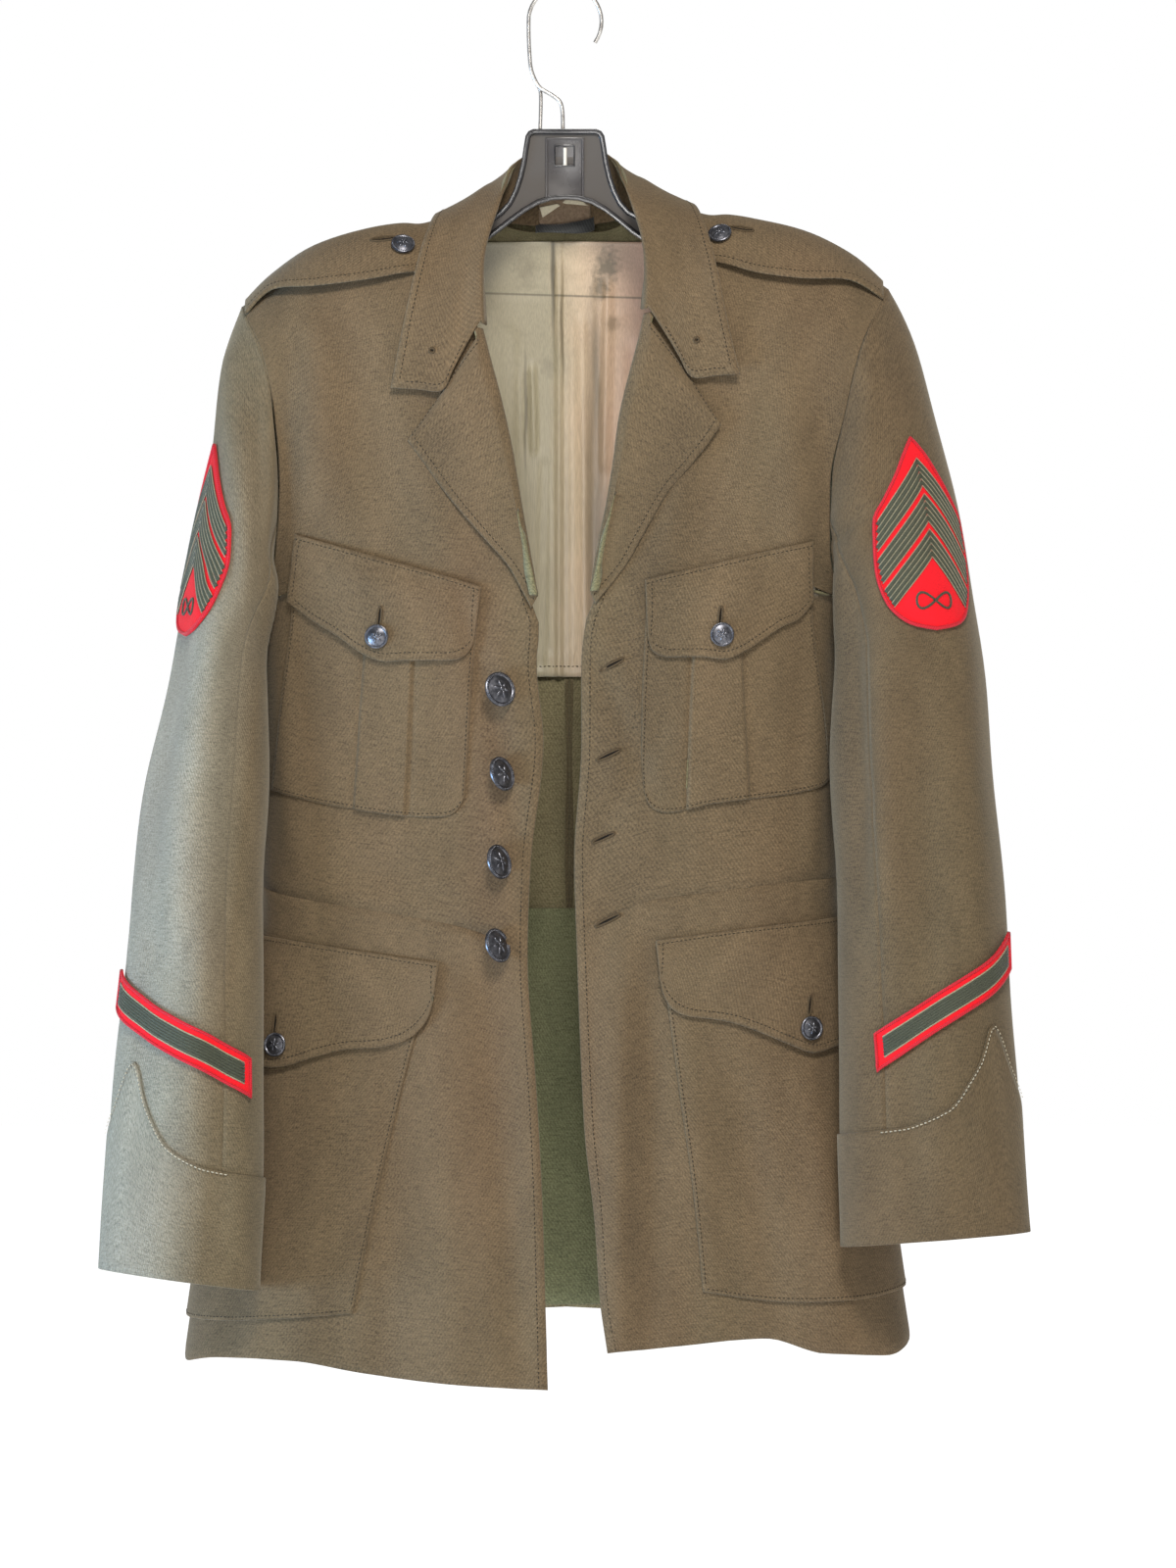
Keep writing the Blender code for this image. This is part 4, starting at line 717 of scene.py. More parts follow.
def satinMaterial():
    material, tree, shader = newMaterial("liningSatin", 0.42)
    place = addNode(tree, "ShaderNodeTexCoord").outputs["Object"]
    parts = addNode(tree, "ShaderNodeSeparateXYZ", {"Vector": place}).outputs
    across = sumOf(tree, parts["X"], 9.0, "MULTIPLY_ADD", 0.52)
    cloud = sumOf(tree, noiseAt(tree, place, 22.0, 2.0), 0.25, "MULTIPLY_ADD", -0.12)
    colour = ramp(tree, sumOf(tree, across, cloud),
                  ((0.0, satin["green"]), (0.42, satin["green"]), (0.62, satin["tan"]), (1.0, satin["red"])))
    thread = noiseAt(tree, stretched(tree, place, (1.0, 1.0, 0.06)), 1500.0, 2.0)
    streaks = ramp(tree, thread, ((0.3, (0.30, 0.30, 0.30, 1)), (0.7, (0.66, 0.66, 0.66, 1))))
    colour = blendOf(tree, 0.35, colour, streaks, "OVERLAY")
    for x, z, reach, strength in satin["stains"]:
        length = lengthOf(tree, moved(tree, place, (x, 0.04, z), "SUBTRACT"), (1.0, 0.0, 0.7))
        ragged = sumOf(tree, noiseAt(tree, place, 260.0, 3.0), reach * 1.3, "MULTIPLY")
        near = mapped(tree, sumOf(tree, length, ragged), reach * 1.6, reach * 0.9, strength)
        colour = blendOf(tree, near, colour, satin["stainAndShade"])
    # long dark marks, painted shade in the pleat and along creases among them
    for x, z, reach, share, strength in satin["marks"]:
        swing = moved(tree, stretched(tree, place, (1.0, 1.0, 0.6)), (0, 0, x))
        wander = addNode(tree, "ShaderNodeTexNoise", {"Vector": swing, "Scale": 34.0,
                                                      "Detail": 2.0}).outputs["Color"]
        away = moved(tree, place, (x, 0.04, z), "SUBTRACT")
        away = moved(tree, away, stretched(tree, wander, (0.006, 0.0, 0.0)))
        near = mapped(tree, lengthOf(tree, away, (1.0, 0.0, share)), reach * 1.5, reach * 0.4, strength)
        colour = blendOf(tree, near, colour, satin["stainAndShade"])
    slope = sumOf(tree, parts["X"], 0.03, "MULTIPLY_ADD", -satin["seam"][0])
    line = sumOf(tree, sumOf(tree, parts["Z"], slope), 0.0, "ABSOLUTE")
    near = mapped(tree, line, satin["seam"][1], 0.0003, satin["seam"][2])
    colour = blendOf(tree, near, colour, satin["stainAndShade"])
    tree.links.new(colour, shader.inputs["Base Color"])
    shader.inputs["Sheen Weight"].default_value = 0.3
    shader.inputs["Specular IOR Level"].default_value = 0.6
    shader.inputs["Coat Weight"].default_value = 0.18
    shader.inputs["Coat Roughness"].default_value = 0.35
    bumpTo(tree, shader, thread, 0.2, 0.0003)
    return material


def threadMaterial(name, colour, other, scale=900.0, roughness=0.7, ribs=0.0, sheen=0.3):
    material, tree, shader = newMaterial(name, roughness)
    if ribs:
        cloth = addNode(tree, "ShaderNodeUVMap", uv_map="cloth").outputs["UV"]
        parts = addNode(tree, "ShaderNodeSeparateXYZ", {"Vector": cloth}).outputs
        lean = sumOf(tree, parts["X"], sumOf(tree, parts["Y"], 0.5, "MULTIPLY"))
        wave = sumOf(tree, sumOf(tree, sumOf(tree, lean, ribs * 6.2832, "MULTIPLY"), 0.0, "SINE"), 0.5,
                     "MULTIPLY_ADD", 0.5)
    place = addNode(tree, "ShaderNodeTexCoord").outputs["Object"]
    fuzz = noiseAt(tree, place, scale, 3.0, 0.6)
    share = sumOf(tree, fuzz, 2.4, "MULTIPLY_ADD", -0.7)
    height = fuzz
    if ribs:
        share = sumOf(tree, sumOf(tree, share, 0.5, "MULTIPLY"), sumOf(tree, wave, 0.5, "MULTIPLY"))
        height = sumOf(tree, wave, sumOf(tree, fuzz, 0.3, "MULTIPLY"))
    colour = blendOf(tree, share, other, colour)
    tree.links.new(colour, shader.inputs["Base Color"])
    shader.inputs["Sheen Weight"].default_value = sheen
    shader.inputs["Sheen Roughness"].default_value = 0.5
    shader.inputs["Specular IOR Level"].default_value = 0.25
    bumpTo(tree, shader, height, 0.5, 0.0004)
    return material


def metalMaterial(name, colour, worn, roughness, wearScale=420.0):
    material, tree, shader = newMaterial(name, roughness, 0.85)
    place = addNode(tree, "ShaderNodeTexCoord").outputs["Object"]
    grain = noiseAt(tree, place, wearScale, 4.0, 0.65)
    wear = ramp(tree, grain, ((0.42, (0, 0, 0, 1)), (0.72, (1, 1, 1, 1))))
    tree.links.new(blendOf(tree, wear, colour, worn), shader.inputs["Base Color"])
    tree.links.new(sumOf(tree, grain, 0.2, "MULTIPLY_ADD", roughness - 0.1), shader.inputs["Roughness"])
    bumpTo(tree, shader, grain, 0.05, 0.0002)
    return material


def plasticMaterial(name, colour, roughness, dust):
    material, tree, shader = newMaterial(name, roughness)
    place = addNode(tree, "ShaderNodeTexCoord").outputs["Object"]
    cloud = noiseAt(tree, place, 60.0, 4.0, 0.6)
    fine = noiseAt(tree, place, 900.0, 2.0)
    tree.links.new(blendOf(tree, sumOf(tree, cloud, dust, "MULTIPLY"), colour, (0.30, 0.27, 0.22, 1)),
                   shader.inputs["Base Color"])
    tree.links.new(sumOf(tree, cloud, 0.22, "MULTIPLY_ADD", roughness - 0.08), shader.inputs["Roughness"])
    bumpTo(tree, shader, fine, 0.05, 0.0002)
    return material


def floorMaterial():
    material, tree, shader = newMaterial("paleFloor", 0.85)
    place = addNode(tree, "ShaderNodeTexCoord").outputs["Object"]
    cloud = noiseAt(tree, place, 0.6, 2.0)
    tree.links.new(ramp(tree, cloud, ((0.0, (0.86, 0.86, 0.86, 1)), (1.0, (0.9, 0.9, 0.9, 1)))),
                   shader.inputs["Base Color"])
    shader.inputs["Emission Color"].default_value = (1, 1, 1, 1)
    shader.inputs["Emission Strength"].default_value = 0.8
    return material


weaveGroup = makeWeaveGroup()
coatWool = woolMaterial("coatWool", 0.46, 0.0, (1.0, 0.92, 0.76, 1))
# copies of the coat's wool: the left sleeve's lighter and greyer, painted light, the right sleeve's darker,
# painted shade
sleeveWools = {
    left: woolMaterial("leftSleeveWool", 0.52, -0.1, (0.98, 0.96, 0.84, 1), True),
    right: woolMaterial("rightSleeveWool", 0.41, 0.0, (1.0, 0.92, 0.76, 1)),
}
insideWool = woolMaterial("insideWool", 0.42, -0.5, (0.94, 0.98, 0.80, 1))
liningSatin = satinMaterial()
redFelt = threadMaterial("redFelt", (0.72, 0.004, 0.012, 1), (0.44, 0.002, 0.007, 1), 1500.0, 0.85,
                         sheen=0.04)
redEdge = threadMaterial("redEdgeThread", (0.52, 0.005, 0.018, 1), (0.26, 0.002, 0.008, 1), 1200.0, 0.6,
                         620.0, 0.08)
greenRib = threadMaterial("greenRibThread", (0.060, 0.066, 0.040, 1), (0.012, 0.015, 0.009, 1), 1500.0, 0.6,
                          sheen=0.1)
paleThread = threadMaterial("paleThread", (0.30, 0.27, 0.18, 1), (0.14, 0.12, 0.07, 1), 1500.0, 0.7,
                            sheen=0.1)
# dark seam thread, darkened so that the stitch rows also carry the painted shade of the grooves they sit in
seamThread = threadMaterial("seamThread", (0.040, 0.031, 0.017, 1), (0.022, 0.017, 0.010, 1), 1500.0, 0.9,
                            sheen=0.0)
paleStitch = threadMaterial("paleStitch", (0.42, 0.38, 0.27, 1), (0.28, 0.24, 0.16, 1), 1500.0, 0.7)
holeThread = threadMaterial("holeThread", (0.085, 0.058, 0.030, 1), (0.04, 0.028, 0.014, 1), 1500.0, 0.9,
                            900.0, 0.0)
# near black: painted shade in the buttonholes' and eyelets' cuts
holeDark = threadMaterial("holeDark", (0.008, 0.006, 0.004, 1), (0.004, 0.003, 0.002, 1), 900.0, 1.0,
                          sheen=0.0)
labelCloth = threadMaterial("labelCloth", (0.72, 0.66, 0.50, 1), (0.52, 0.46, 0.32, 1), 1400.0, 0.75)
darkTape = threadMaterial("darkTape", (0.045, 0.048, 0.046, 1), (0.012, 0.012, 0.013, 1), 1200.0, 0.55, 500.0)
buttonMetal = metalMaterial("buttonMetal", (0.062, 0.064, 0.074, 1), (0.16, 0.16, 0.175, 1), 0.33, 300.0)
blackPlastic = plasticMaterial("blackPlastic", (0.009, 0.009, 0.011, 1), 0.16, 0.06)
webPlastic = plasticMaterial("webPlastic", (0.030, 0.024, 0.019, 1), 0.55, 0.06)
panelPlastic = plasticMaterial("panelPlastic", (0.016, 0.014, 0.016, 1), 0.24, 0.12)
paleBar = plasticMaterial("paleBar", (0.50, 0.48, 0.42, 1), 0.25, 0.2)
foldTwill = threadMaterial("foldTwill", (0.235, 0.165, 0.105, 1), (0.12, 0.082, 0.05, 1), 800.0, 0.75)
hookSteel = metalMaterial("hookSteel", (0.52, 0.50, 0.47, 1), (0.20, 0.18, 0.16, 1), 0.30, 160.0)
print("materials made")


# Fronts, skirts and back

def towardsSide(count):   # shares that lie closer together where the body turns
    return [1 - (1 - s) ** 1.35 for s in shares(count)]


def armDrop(side, i):     # height of the i-th point of the armhole seam
    low, tip = coat["armholes"][side][-1][0], coat["armholes"][side][0]
    return mix(ridge(side * tip[1]), low, (1 - math.cos(math.pi * i / armRows)) / 2)


def rowShares(side, low, rows):
    top = armDrop(side, 0)
    out = [(top - armDrop(side, i)) / (top - low) for i in range(armRows + 1)]
    return out + [mix(out[-1], 1.0, share) for share in shares(rows)[1:]]


def besideArmhole(height, rim, away, i):
    near = 1 - abs(i - armRows) / (armRows if i < armRows else 20)
    return mix(height, rim, max(0.0, near) * (1 - ease(away / 0.35)))


def shoulderSpot(side, way, height, topAcross, isTop, behind=False):
    half = coat["seamGap"] / 2 if behind else -coat["seamGap"] / 2
    if isTop:
        return Vector((topAcross, half, height))
    spot = bodyPoint(side, way, height)
    if abs(way - 1.0) < 1e-6:
        spot.y += half
    return spot


def frontGrid(side):
    column = 1 if side == left else 2
    tip = coat["armholes"][side][0]
    gap = coat["seamGap"]
    grid = []
    for i, share in enumerate(rowShares(side, coat["waistSeam"][-1][column], 22)):
        line = []
        for c in towardsSide(coat["columns"]):
            topAcross = side * mix(coat["neckPoint"], tip[1], c)
            top = ridge(topAcross)
            height = mix(top, read(coat["waistSeam"], c, column) + gap / 2, share)
            rim = mix(ridge(side * tip[1]), read(coat["waistSeam"], 1.0, column) + gap / 2, share)
            height = besideArmhole(height, rim, 1 - c, i)
            edge = wayOf(side, read(coat["frontEdges"][side], height, 1), height)
            seam = 1.0
            if i < armRows:
                seam = wayOf(side, side * (read(coat["armholes"][side], height, 1) - gap), height)
            way = mix(edge, seam, c)
            hold = 1 - ease((top - height) / 130)
            way = mix(way, wayOf(side, topAcross, height), hold if 0 < c < 1 else 0)
            way = min(way, mix(edge, seam, 0.4 + 0.6 * c))
            line.append(shoulderSpot(side, way, height, topAcross, i == 0))
        grid.append(line)
    return grid


def skirtGrid(side):
    column = 1 if side == left else 2
    rows = []
    for r in shares(44):
        line = []
        for c in towardsSide(coat["columns"] + 8):
            top = read(coat["waistSeam"], c, column) - coat["seamGap"] / 2
            height = mix(top, read(coat["hemLine"], c, column), r)
            edge = wayOf(side, read(coat["frontEdges"][side], height, 1), height)
            line.append(shoulderSpot(side, mix(edge, 1.0, c), height, 0, False))
        rows.append(line)
    return rows


def backGrid(side):
    column = 1 if side == left else 2
    tip, neck, gap = coat["armholes"][side][0], coat["neckPoint"], coat["seamGap"]
    grid = []
    for i, share in enumerate(rowShares(side, read(coat["hemLine"], 1.0, column), 50)):
        line = []
        for c in (s ** 1.25 for s in shares(coat["columns"])):
            past = max(0.0, c - coat["neckShare"]) / (1 - coat["neckShare"])
            topAcross = side * (mix(tip[2], neck, min(1.0, c / coat["neckShare"])) - neck * past)
            top = mix(ridge(side * neck), coat["backNeckHeight"],
                      ease(past * 1.5)) if past else ridge(topAcross)
            height = mix(top, read(coat["hemLine"], 1 + c, column), share)
            rim = mix(ridge(side * tip[2]), read(coat["hemLine"], 1.0, column), share)
            height = besideArmhole(height, rim, c, i)
            seam = 1.0
            if i < armRows:
                seam = wayOf(side, side * (read(coat["armholes"][side], height, 2) - gap), height, True)
            way = mix(seam, wayOf(side, side * gap / 2, height, True), c)
            hold = 1 - ease((top - height) / 130)
            if 0 < c < 1:
                way = mix(way, wayOf(side, topAcross, height, True), hold)
                way = max(way, mix(seam, 2.0, 0.6 * c))
            line.append(shoulderSpot(side, way, height, topAcross, i == 0 and not past, True))
        grid.append(line)
    return grid


def makeBody():
    for side in (left, right):
        word = sideName(side)
        front = clothPiece("front_" + word, frontGrid(side), coatWool, part="body")
        keep(front, ["front_" + word])
        skirt = clothPiece("skirt_" + word, skirtGrid(side), coatWool, part="body")
        keep(skirt, ["skirt_" + word])
        back = clothPiece("back_" + word, backGrid(side), coatWool, facing=(0, 1, 0), part="body")
        keep(back, ["back_" + word])
    rows = []
    for r in shares(30):
        height = mix(-640, read(coat["hemLine"], 2.0, 1) + 2, r)
        across = [mix(-34, 12 + 22 * ease(r - 0.2), share) for share in shares(12)]
        rows.append([bodyPoint(right, wayOf(right, x, height, True), height, -5.0) for x in across])
    vent = clothPiece("vent_underlap", rows, insideWool, facing=(0, 1, 0))
    keep(vent, ["vent_underlap"])
    print("body pieces made")


# Lapels and collar

lapels = {
    left: (
        # roll across, roll height, edge across, edge height
        (-56.1, -239.5, -84.7, -284), (-52, -256, -107.8, -316.2), (-45.2, -281, -97, -331),
        (-37.1, -316, -85, -348), (-32, -345, -73.8, -362.4), (-28.5, -366, -62, -376),
        (-25, -385, -50, -389.5), (-22, -402, -37.7, -404), (-18.5, -422, -23, -431),
    ),
    right: (
        (54.5, -229, 87.4, -275), (51, -245, 107.1, -305.3), (46, -264, 98.5, -318),
        (37.7, -298, 85, -335), (33, -332, 72, -350), (28.5, -360, 62, -366),
        (24.3, -380, 52, -384), (20.5, -400, 41, -403), (17.5, -419, 21, -428),
    ),
}
collarStations = (
    # seam x, y, z, fold x, y, z, middle x, y, z, edge x, y, z
    (-53.5, -52, -236, -55.5, -63, -235, -84.7, -60, -281.5, -119.3, -66, -279.5),
    (-55, -46, -214, -56, -57, -205, -84, -56, -229, -111.3, -60, -238),
    (-58, -34, -190, -53.5, -44, -181, -79, -46, -195, -103, -52, -200),
    (-61, -16, -171, -46, -26, -156, -69, -28, -161, -95, -30, -169),
    (-62, 2, -161, -41, -6, -138, -62, 2, -143, -88, 8, -156),
    (-51, 16, -160, -35, 15, -123, -54, 30, -137, -79, 42, -167),
    (-31, 26, -163, -21, 33, -115, -35, 49, -138, -50, 60, -176),
    (0, 31, -164, 0, 41, -112, 0, 57, -138, 0, 66, -176),
    (31, 26, -161, 20, 33, -112, 35, 49, -134, 50, 60, -171),
    (51, 16, -155, 34, 15, -120, 53, 30, -132, 79, 42, -161),
    (62, 2, -155, 40, -6, -134, 62, 2, -138, 88, 8, -149.5),
    (61, -16, -165, 45, -26, -151, 69, -28, -155, 96, -30, -163),
    (58, -34, -184, 52, -44, -175, 79, -46, -188, 104, -52, -194.5),
    (54, -46, -208, 55, -57, -200, 84, -56, -222, 110.7, -60, -229),
    (52, -52, -225, 54.5, -63, -225, 87.4, -60, -272, 120, -66, -270),
)


def makeLapels():
    for side in (left, right):
        rows = np.array(lapels[side], float)
        corner = 2   # the second row ends in the lapel's point, so the rows are kept and only filled in
        fine = []
        for i in range(len(rows) - 1):
            steps = 5 if i else 6
            for k in range(steps):
                t = k / steps
                if i < corner:
                    fine.append(mix(rows[i], rows[i + 1], t))
                else:
                    share = (i - corner + 1 + t) / (len(rows) - corner)
                    fine.append(np.array(curveAt(rows[corner - 1:].tolist(), share)))
        fine.append(rows[-1])
        grid = []
        for rollAcross, rollHeight, edgeAcross, edgeHeight in fine:
            sag = 1.0 - ease((-240 - rollHeight) / 170)
            line = [
                frontPoint(side, rollAcross + side * 15, rollHeight, -3.4),
                frontPoint(side, rollAcross + side * 10, rollHeight, -3.4),
                frontPoint(side, rollAcross + side * 5, rollHeight, -3.2),
                frontPoint(side, rollAcross + side * 1.8, rollHeight, -2.4),
                frontPoint(side, rollAcross - side * 0.2, rollHeight, 0.6),
                frontPoint(side, rollAcross + side * 1.4, rollHeight, 3.6 + sag),
                frontPoint(side, rollAcross + side * 4.5, rollHeight - 0.5, 5.2 + 1.6 * sag),
            ]
            for share in shares(16)[2:]:
                across, height = mix(rollAcross, edgeAcross, share), mix(rollHeight, edgeHeight, share)
                lift = mix(5.6 + 1.8 * sag, 2.9, ease(share)) + 0.8 * math.sin(3.4 * share + 0.02 * height)
                line.append(frontPoint(side, across, height, lift))
            grid.append(line)
        word = sideName(side)
        grid = finer(np.array([[tuple(p) for p in line] for line in grid]), 2, 1)
        piece = clothPiece("lapel_" + word, grid, coatWool)
        keep(piece, ["lapel_" + word])
    print("lapels made")


def liftClear(spot, clear):
    if spot.z >= ridge(spot.x) - 1:
        return spot
    surface = depthAt(spot.x, spot.z, spot.y > 0)
    if spot.y > 0:
        return Vector((spot.x, max(spot.y, surface + clear), spot.z))
    return Vector((spot.x, min(spot.y, surface - clear), spot.z))


def makeCollar():
    lines = []
    for station in collarStations:
        seam, fold, middle, edge = (Vector(station[k:k + 3]) for k in (0, 3, 6, 9))
        away = (middle - seam).normalized()
        outwards = Vector((away.x, away.y, 0)).normalized()
        line = [seam, mix(seam, fold, 0.45), mix(seam, fold, 0.8), fold + outwards * 0.8]
        line.append(fold + outwards * 3.4 + Vector((0, 0, 1.2)))
        line.append(mix(fold + outwards * 5.0, middle, 0.35))
        line += [mix(fold + outwards * 4.5, middle, 0.7), middle, mix(middle, edge, 0.5), edge]
        lines.append([liftClear(p, 7.0) if k > 3 else p for k, p in enumerate(line)])
    grid = np.array([[tuple(p) for p in line] for line in lines])
    grid = finer(finer(grid, 8), 4, 1)
    piece = clothPiece("collar", grid, coatWool, facing=(0, 1, 0))
    keep(piece, ["collar"])
    print("collar made")


# Sleeves, cuffs and straps

sleeve = {
    "sections": {
        left: (
            # height, outer edge, inner edge, middle in depth, half depth
            (-225, 234, 150, 0, 50), (-250, 239, 150, 0, 58), (-273, 241, 150, 0, 62),
            (-324, 245, 156, -2, 67), (-374, 255, 168, -5, 69), (-421, 264, 186, -10, 70),
            (-470, 273, 203, -18, 68), (-553, 290, 203, -40, 62), (-621, 298, 207, -54, 57),
            (-682, 302, 208, -63, 52), (-757, 312, 207, -75, 46), (-801, 315, 207, -82, 43),
            (-892, 319.3, 210, -91, 38), (-930, 320, 211, -93, 37),
        ),
        right: (
            (-225, 243, 150, 0, 50), (-250, 249, 150, 0, 58), (-273, 253, 150, 0, 62),
            (-324, 264, 153, -2, 67), (-374, 276, 161, -5, 69), (-421, 284, 172, -10, 70),
            (-471, 291, 182, -18, 68), (-524, 294, 181, -33, 64), (-580, 299, 184, -45, 60),
            (-641, 304, 188, -56, 56), (-715, 309, 188, -66, 50), (-779, 314, 189, -76, 45),
            (-865, 319, 191, -84, 38), (-930, 320, 192, -88, 37),
        ),
    },
    "ends": {left: (-885, -900), right: (-860, -870)},
    "fold": -470,
    "sides": 2 * armRows,
    "cuffRise": (
        # degrees round, rise
        (0, 84), (25, 112), (42, 143), (58, 116), (80, 88), (110, 78), (180, 76), (250, 78),
        (320, 80), (360, 84),
    ),
}


def armholeLoop(side):
    loop = []
    seams = coat["armholes"][side]
    for j in range(sleeve["sides"]):
        behind = j > armRows
        height = armDrop(side, min(j, sleeve["sides"] - j))
        gap = coat["seamGap"] + 0.4 * ease((seams[-1][0] + 18 - height) / 12)
        across = side * (read(seams, height, 2 if behind else 1) + gap)
        if j == 0:
            spot = Vector((across, 0, height))
        elif j == armRows:
            middle, width = section(height)[:2]
            spot = Vector((middle + side * (width + gap), 0, height - coat["seamGap"]))
        else:
            spot = Vector((across, depthAt(across, height, behind), height))
        loop.append(spot)
    return loop


def clearBody(side, spot, clear):
    middle, width, front, back = section(round(spot.z, 1))
    depth, power = (back if spot.y > 0 else front) + clear, coat["sectionPower"]
    if abs(spot.y) >= depth:
        return spot
    limit = (width + clear) * (1 - (abs(spot.y) / depth) ** power) ** (1 / power)
    if spot.z > coat["armholes"][side][-1][0]:
        limit = min(limit, read(coat["armholes"][side], spot.z, 2 if spot.y > 0 else 1) - side * middle
                    + clear)
    reach = side * (spot.x - middle)
    return spot if reach >= limit else Vector((middle + side * limit, spot.y, spot.z))


def sleevePoint(side, degrees, height):
    outerEdge, innerEdge, midDepth, halfDepth = (read(sleeve["sections"][side], height, k)
                                                 for k in (1, 2, 3, 4))
    turn = math.radians(degrees)
    across = side * ((outerEdge + innerEdge) / 2 + (outerEdge - innerEdge) / 2 * math.cos(turn))
    spot = Vector((across, midDepth - halfDepth * math.sin(turn), height))
    return clearBody(side, spot, mix(4.0, 6.0, ease((-650 - height) / 150)))


def hemHeight(side, degrees):
    outerEnd, innerEnd = sleeve["ends"][side]
    return mix(outerEnd, innerEnd, (1 - math.cos(math.radians(degrees))) / 2)


@lru_cache(maxsize=None)
def sleeveSurface(side):
    loop = armholeLoop(side)
    underarm = coat["armholes"][side][-1][0] + 22
    grid = []
    for q in (s ** 1.5 for s in shares(26)):
        line = []
        for j, start in enumerate(loop):
            height = mix(start.z, sleeve["fold"], q)
            target = sleevePoint(side, 360 * j / sleeve["sides"], height)
            outward = max(0.0, math.cos(2 * math.pi * j / sleeve["sides"]))
            spot = mix(start, target, 1 - (1 - q) ** (3 + 8 * outward ** 2))
            spot.z = height
            if q and height < underarm:
                spot = clearBody(side, spot, min(4.0, 0.6 + 14 * q))
            elif q:
                rim = read(coat["armholes"][side], height, 2 if spot.y > 0 else 1)
                spot.x = side * max(side * spot.x, rim + min(4.5, 0.6 + 14 * q))
            line.append(tuple(spot))
        grid.append(line)
    for r in shares(36)[1:]:
        line = []
        for j in range(sleeve["sides"]):
            degrees = 360 * j / sleeve["sides"]
            line.append(tuple(sleevePoint(side, degrees, mix(sleeve["fold"], hemHeight(side, degrees), r))))
        grid.append(line)
    grid = relaxed(np.array(grid), 5, True)
    normals = surfaceNormals(grid, True)
    normals = -normals if normals[30][0][0] * side < 0 else normals
    grid = settle(grid, normals, "sleeve")
    again = surfaceNormals(grid, True)
    return grid, again if np.sum(again * normals) > 0 else -again


seamColumns = (32, 68)


def makeSleeves():
    for side in (left, right):
        grid, normals = sleeveSurface(side)
        word = sideName(side)
        fore, hind = seamColumns
        sides = sleeve["sides"]
        for name, columns, key in (
            ("topsleeve_", list(range(hind, sides)) + list(range(0, fore + 1)), "topsleeve"),
            ("undersleeve_", list(range(fore, hind + 1)), "undersleeve"),
        ):
            part = grid[:, columns].copy()
            for end, nextOne in ((0, 1), (-1, -2)):
                step = part[:, nextOne] - part[:, end]
                part[:, end] += step / np.linalg.norm(step, axis=-1, keepdims=True) * 0.18
            surfaces[name + word] = (part, normals[:, columns], False)
            piece = wallMesh(name + word, part, normals[:, columns], sleeveWools[side], coat["wall"])
            keep(piece, [name + word])
        surfaces["sleeve_" + word] = (grid, normals, True)
    print("sleeves made")


def onSleeve(side, column, height, lift):   # a place between the sleeve's columns and rings
    grid, normals = sleeveSurface(side)
    sides = sleeve["sides"]
    j = math.floor(column)
    share = column - j
    j, n = j % sides, (j + 1) % sides
    heights = mix(grid[:, j, 2], grid[:, n, 2], share)
    i = int(np.clip(np.searchsorted(-heights, -height) - 1, 0, len(heights) - 2))
    down = (heights[i] - height) / max(1e-6, heights[i] - heights[i + 1])
    spot = mix(mix(grid[i, j], grid[i, n], share), mix(grid[i + 1, j], grid[i + 1, n], share), down)
    away = mix(mix(normals[i, j], normals[i, n], share), mix(normals[i + 1, j], normals[i + 1, n], share),
               down)
    return spot + away / np.linalg.norm(away) * lift


@lru_cache(maxsize=None)
def girthTable(side, height):
    columns = np.arange(-armRows, armRows + 1)
    spots = np.array([onSleeve(side, column, height, 0) for column in columns])
    length = np.concatenate([[0], np.cumsum(np.linalg.norm(np.diff(spots, axis=0), axis=1))])
    return length - length[armRows], columns


def sleeveColumn(side, girth, height):
    length, columns = girthTable(side, round(height))
    return float(np.interp(girth, length, columns))


def makeCuffs():
    for side in (left, right):
        grid = []
        for r in shares(18):
            line = []
            for j in range(sleeve["sides"]):
                degrees = 360 * j / sleeve["sides"]
                hem = hemHeight(side, degrees)
                top = hem + read(sleeve["cuffRise"], degrees, 1)
                line.append(onSleeve(side, j, mix(top, hem - 0.6, r), 1.7))
            grid.append(line)
        piece = clothPiece("cuff_" + sideName(side), np.array(grid), sleeveWools[side], 1.3, (side, 0, 0),
                           True)
        keep(piece, ["cuff_" + sideName(side)])
    print("cuffs made")


straps = {
    left: (
        # across, front height, lift
        (-85, -188, 3.5), (-92, -196, 3.6), (-101, -200, 4.0), (-113, -203, 7.5), (-136, -208, 9.0),
        (-171, -213, 10.0), (-200, -215, 8.0), (-220, -229, 3.4),
    ),
    right: (
        (85, -180, 3.5), (92, -188, 3.6), (101, -193, 4.0), (113, -197, 7.5), (133, -203, 8.5),
        (163, -207, 9.0), (195, -208, 8.0), (219, -218, 3.4),
    ),
}


def strapPoint(across, share, frontHeight, lift):
    fall = math.acos(1 - min(1.0, (ridge(across) - frontHeight) / coat["shoulderRound"]))
    turn = mix(-0.12, fall, share)
    height = ridge(across) - coat["shoulderRound"] * (1 - math.cos(turn))
    spot = Vector((across, depthAt(across, height, turn < 0), height))
    return spot + bodyNormal(spot) * lift


def strapRow(side, share):   # across, height of the front edge and lift at a share of the strap's length
    return curveAt(straps[side], share)


def makeStraps():
    for side in (left, right):
        grid = []
        for s in shares(42):
            across, front, lift = strapRow(side, s)
            grid.append([strapPoint(across, share, front, lift * (0.72 + 0.28 * share))
                         for share in shares(18)])
        piece = clothPiece("strap_" + sideName(side), grid, coatWool, coat["wall"])
        keep(piece, ["strap_" + sideName(side)])
    print("straps made")


# Pockets and flaps

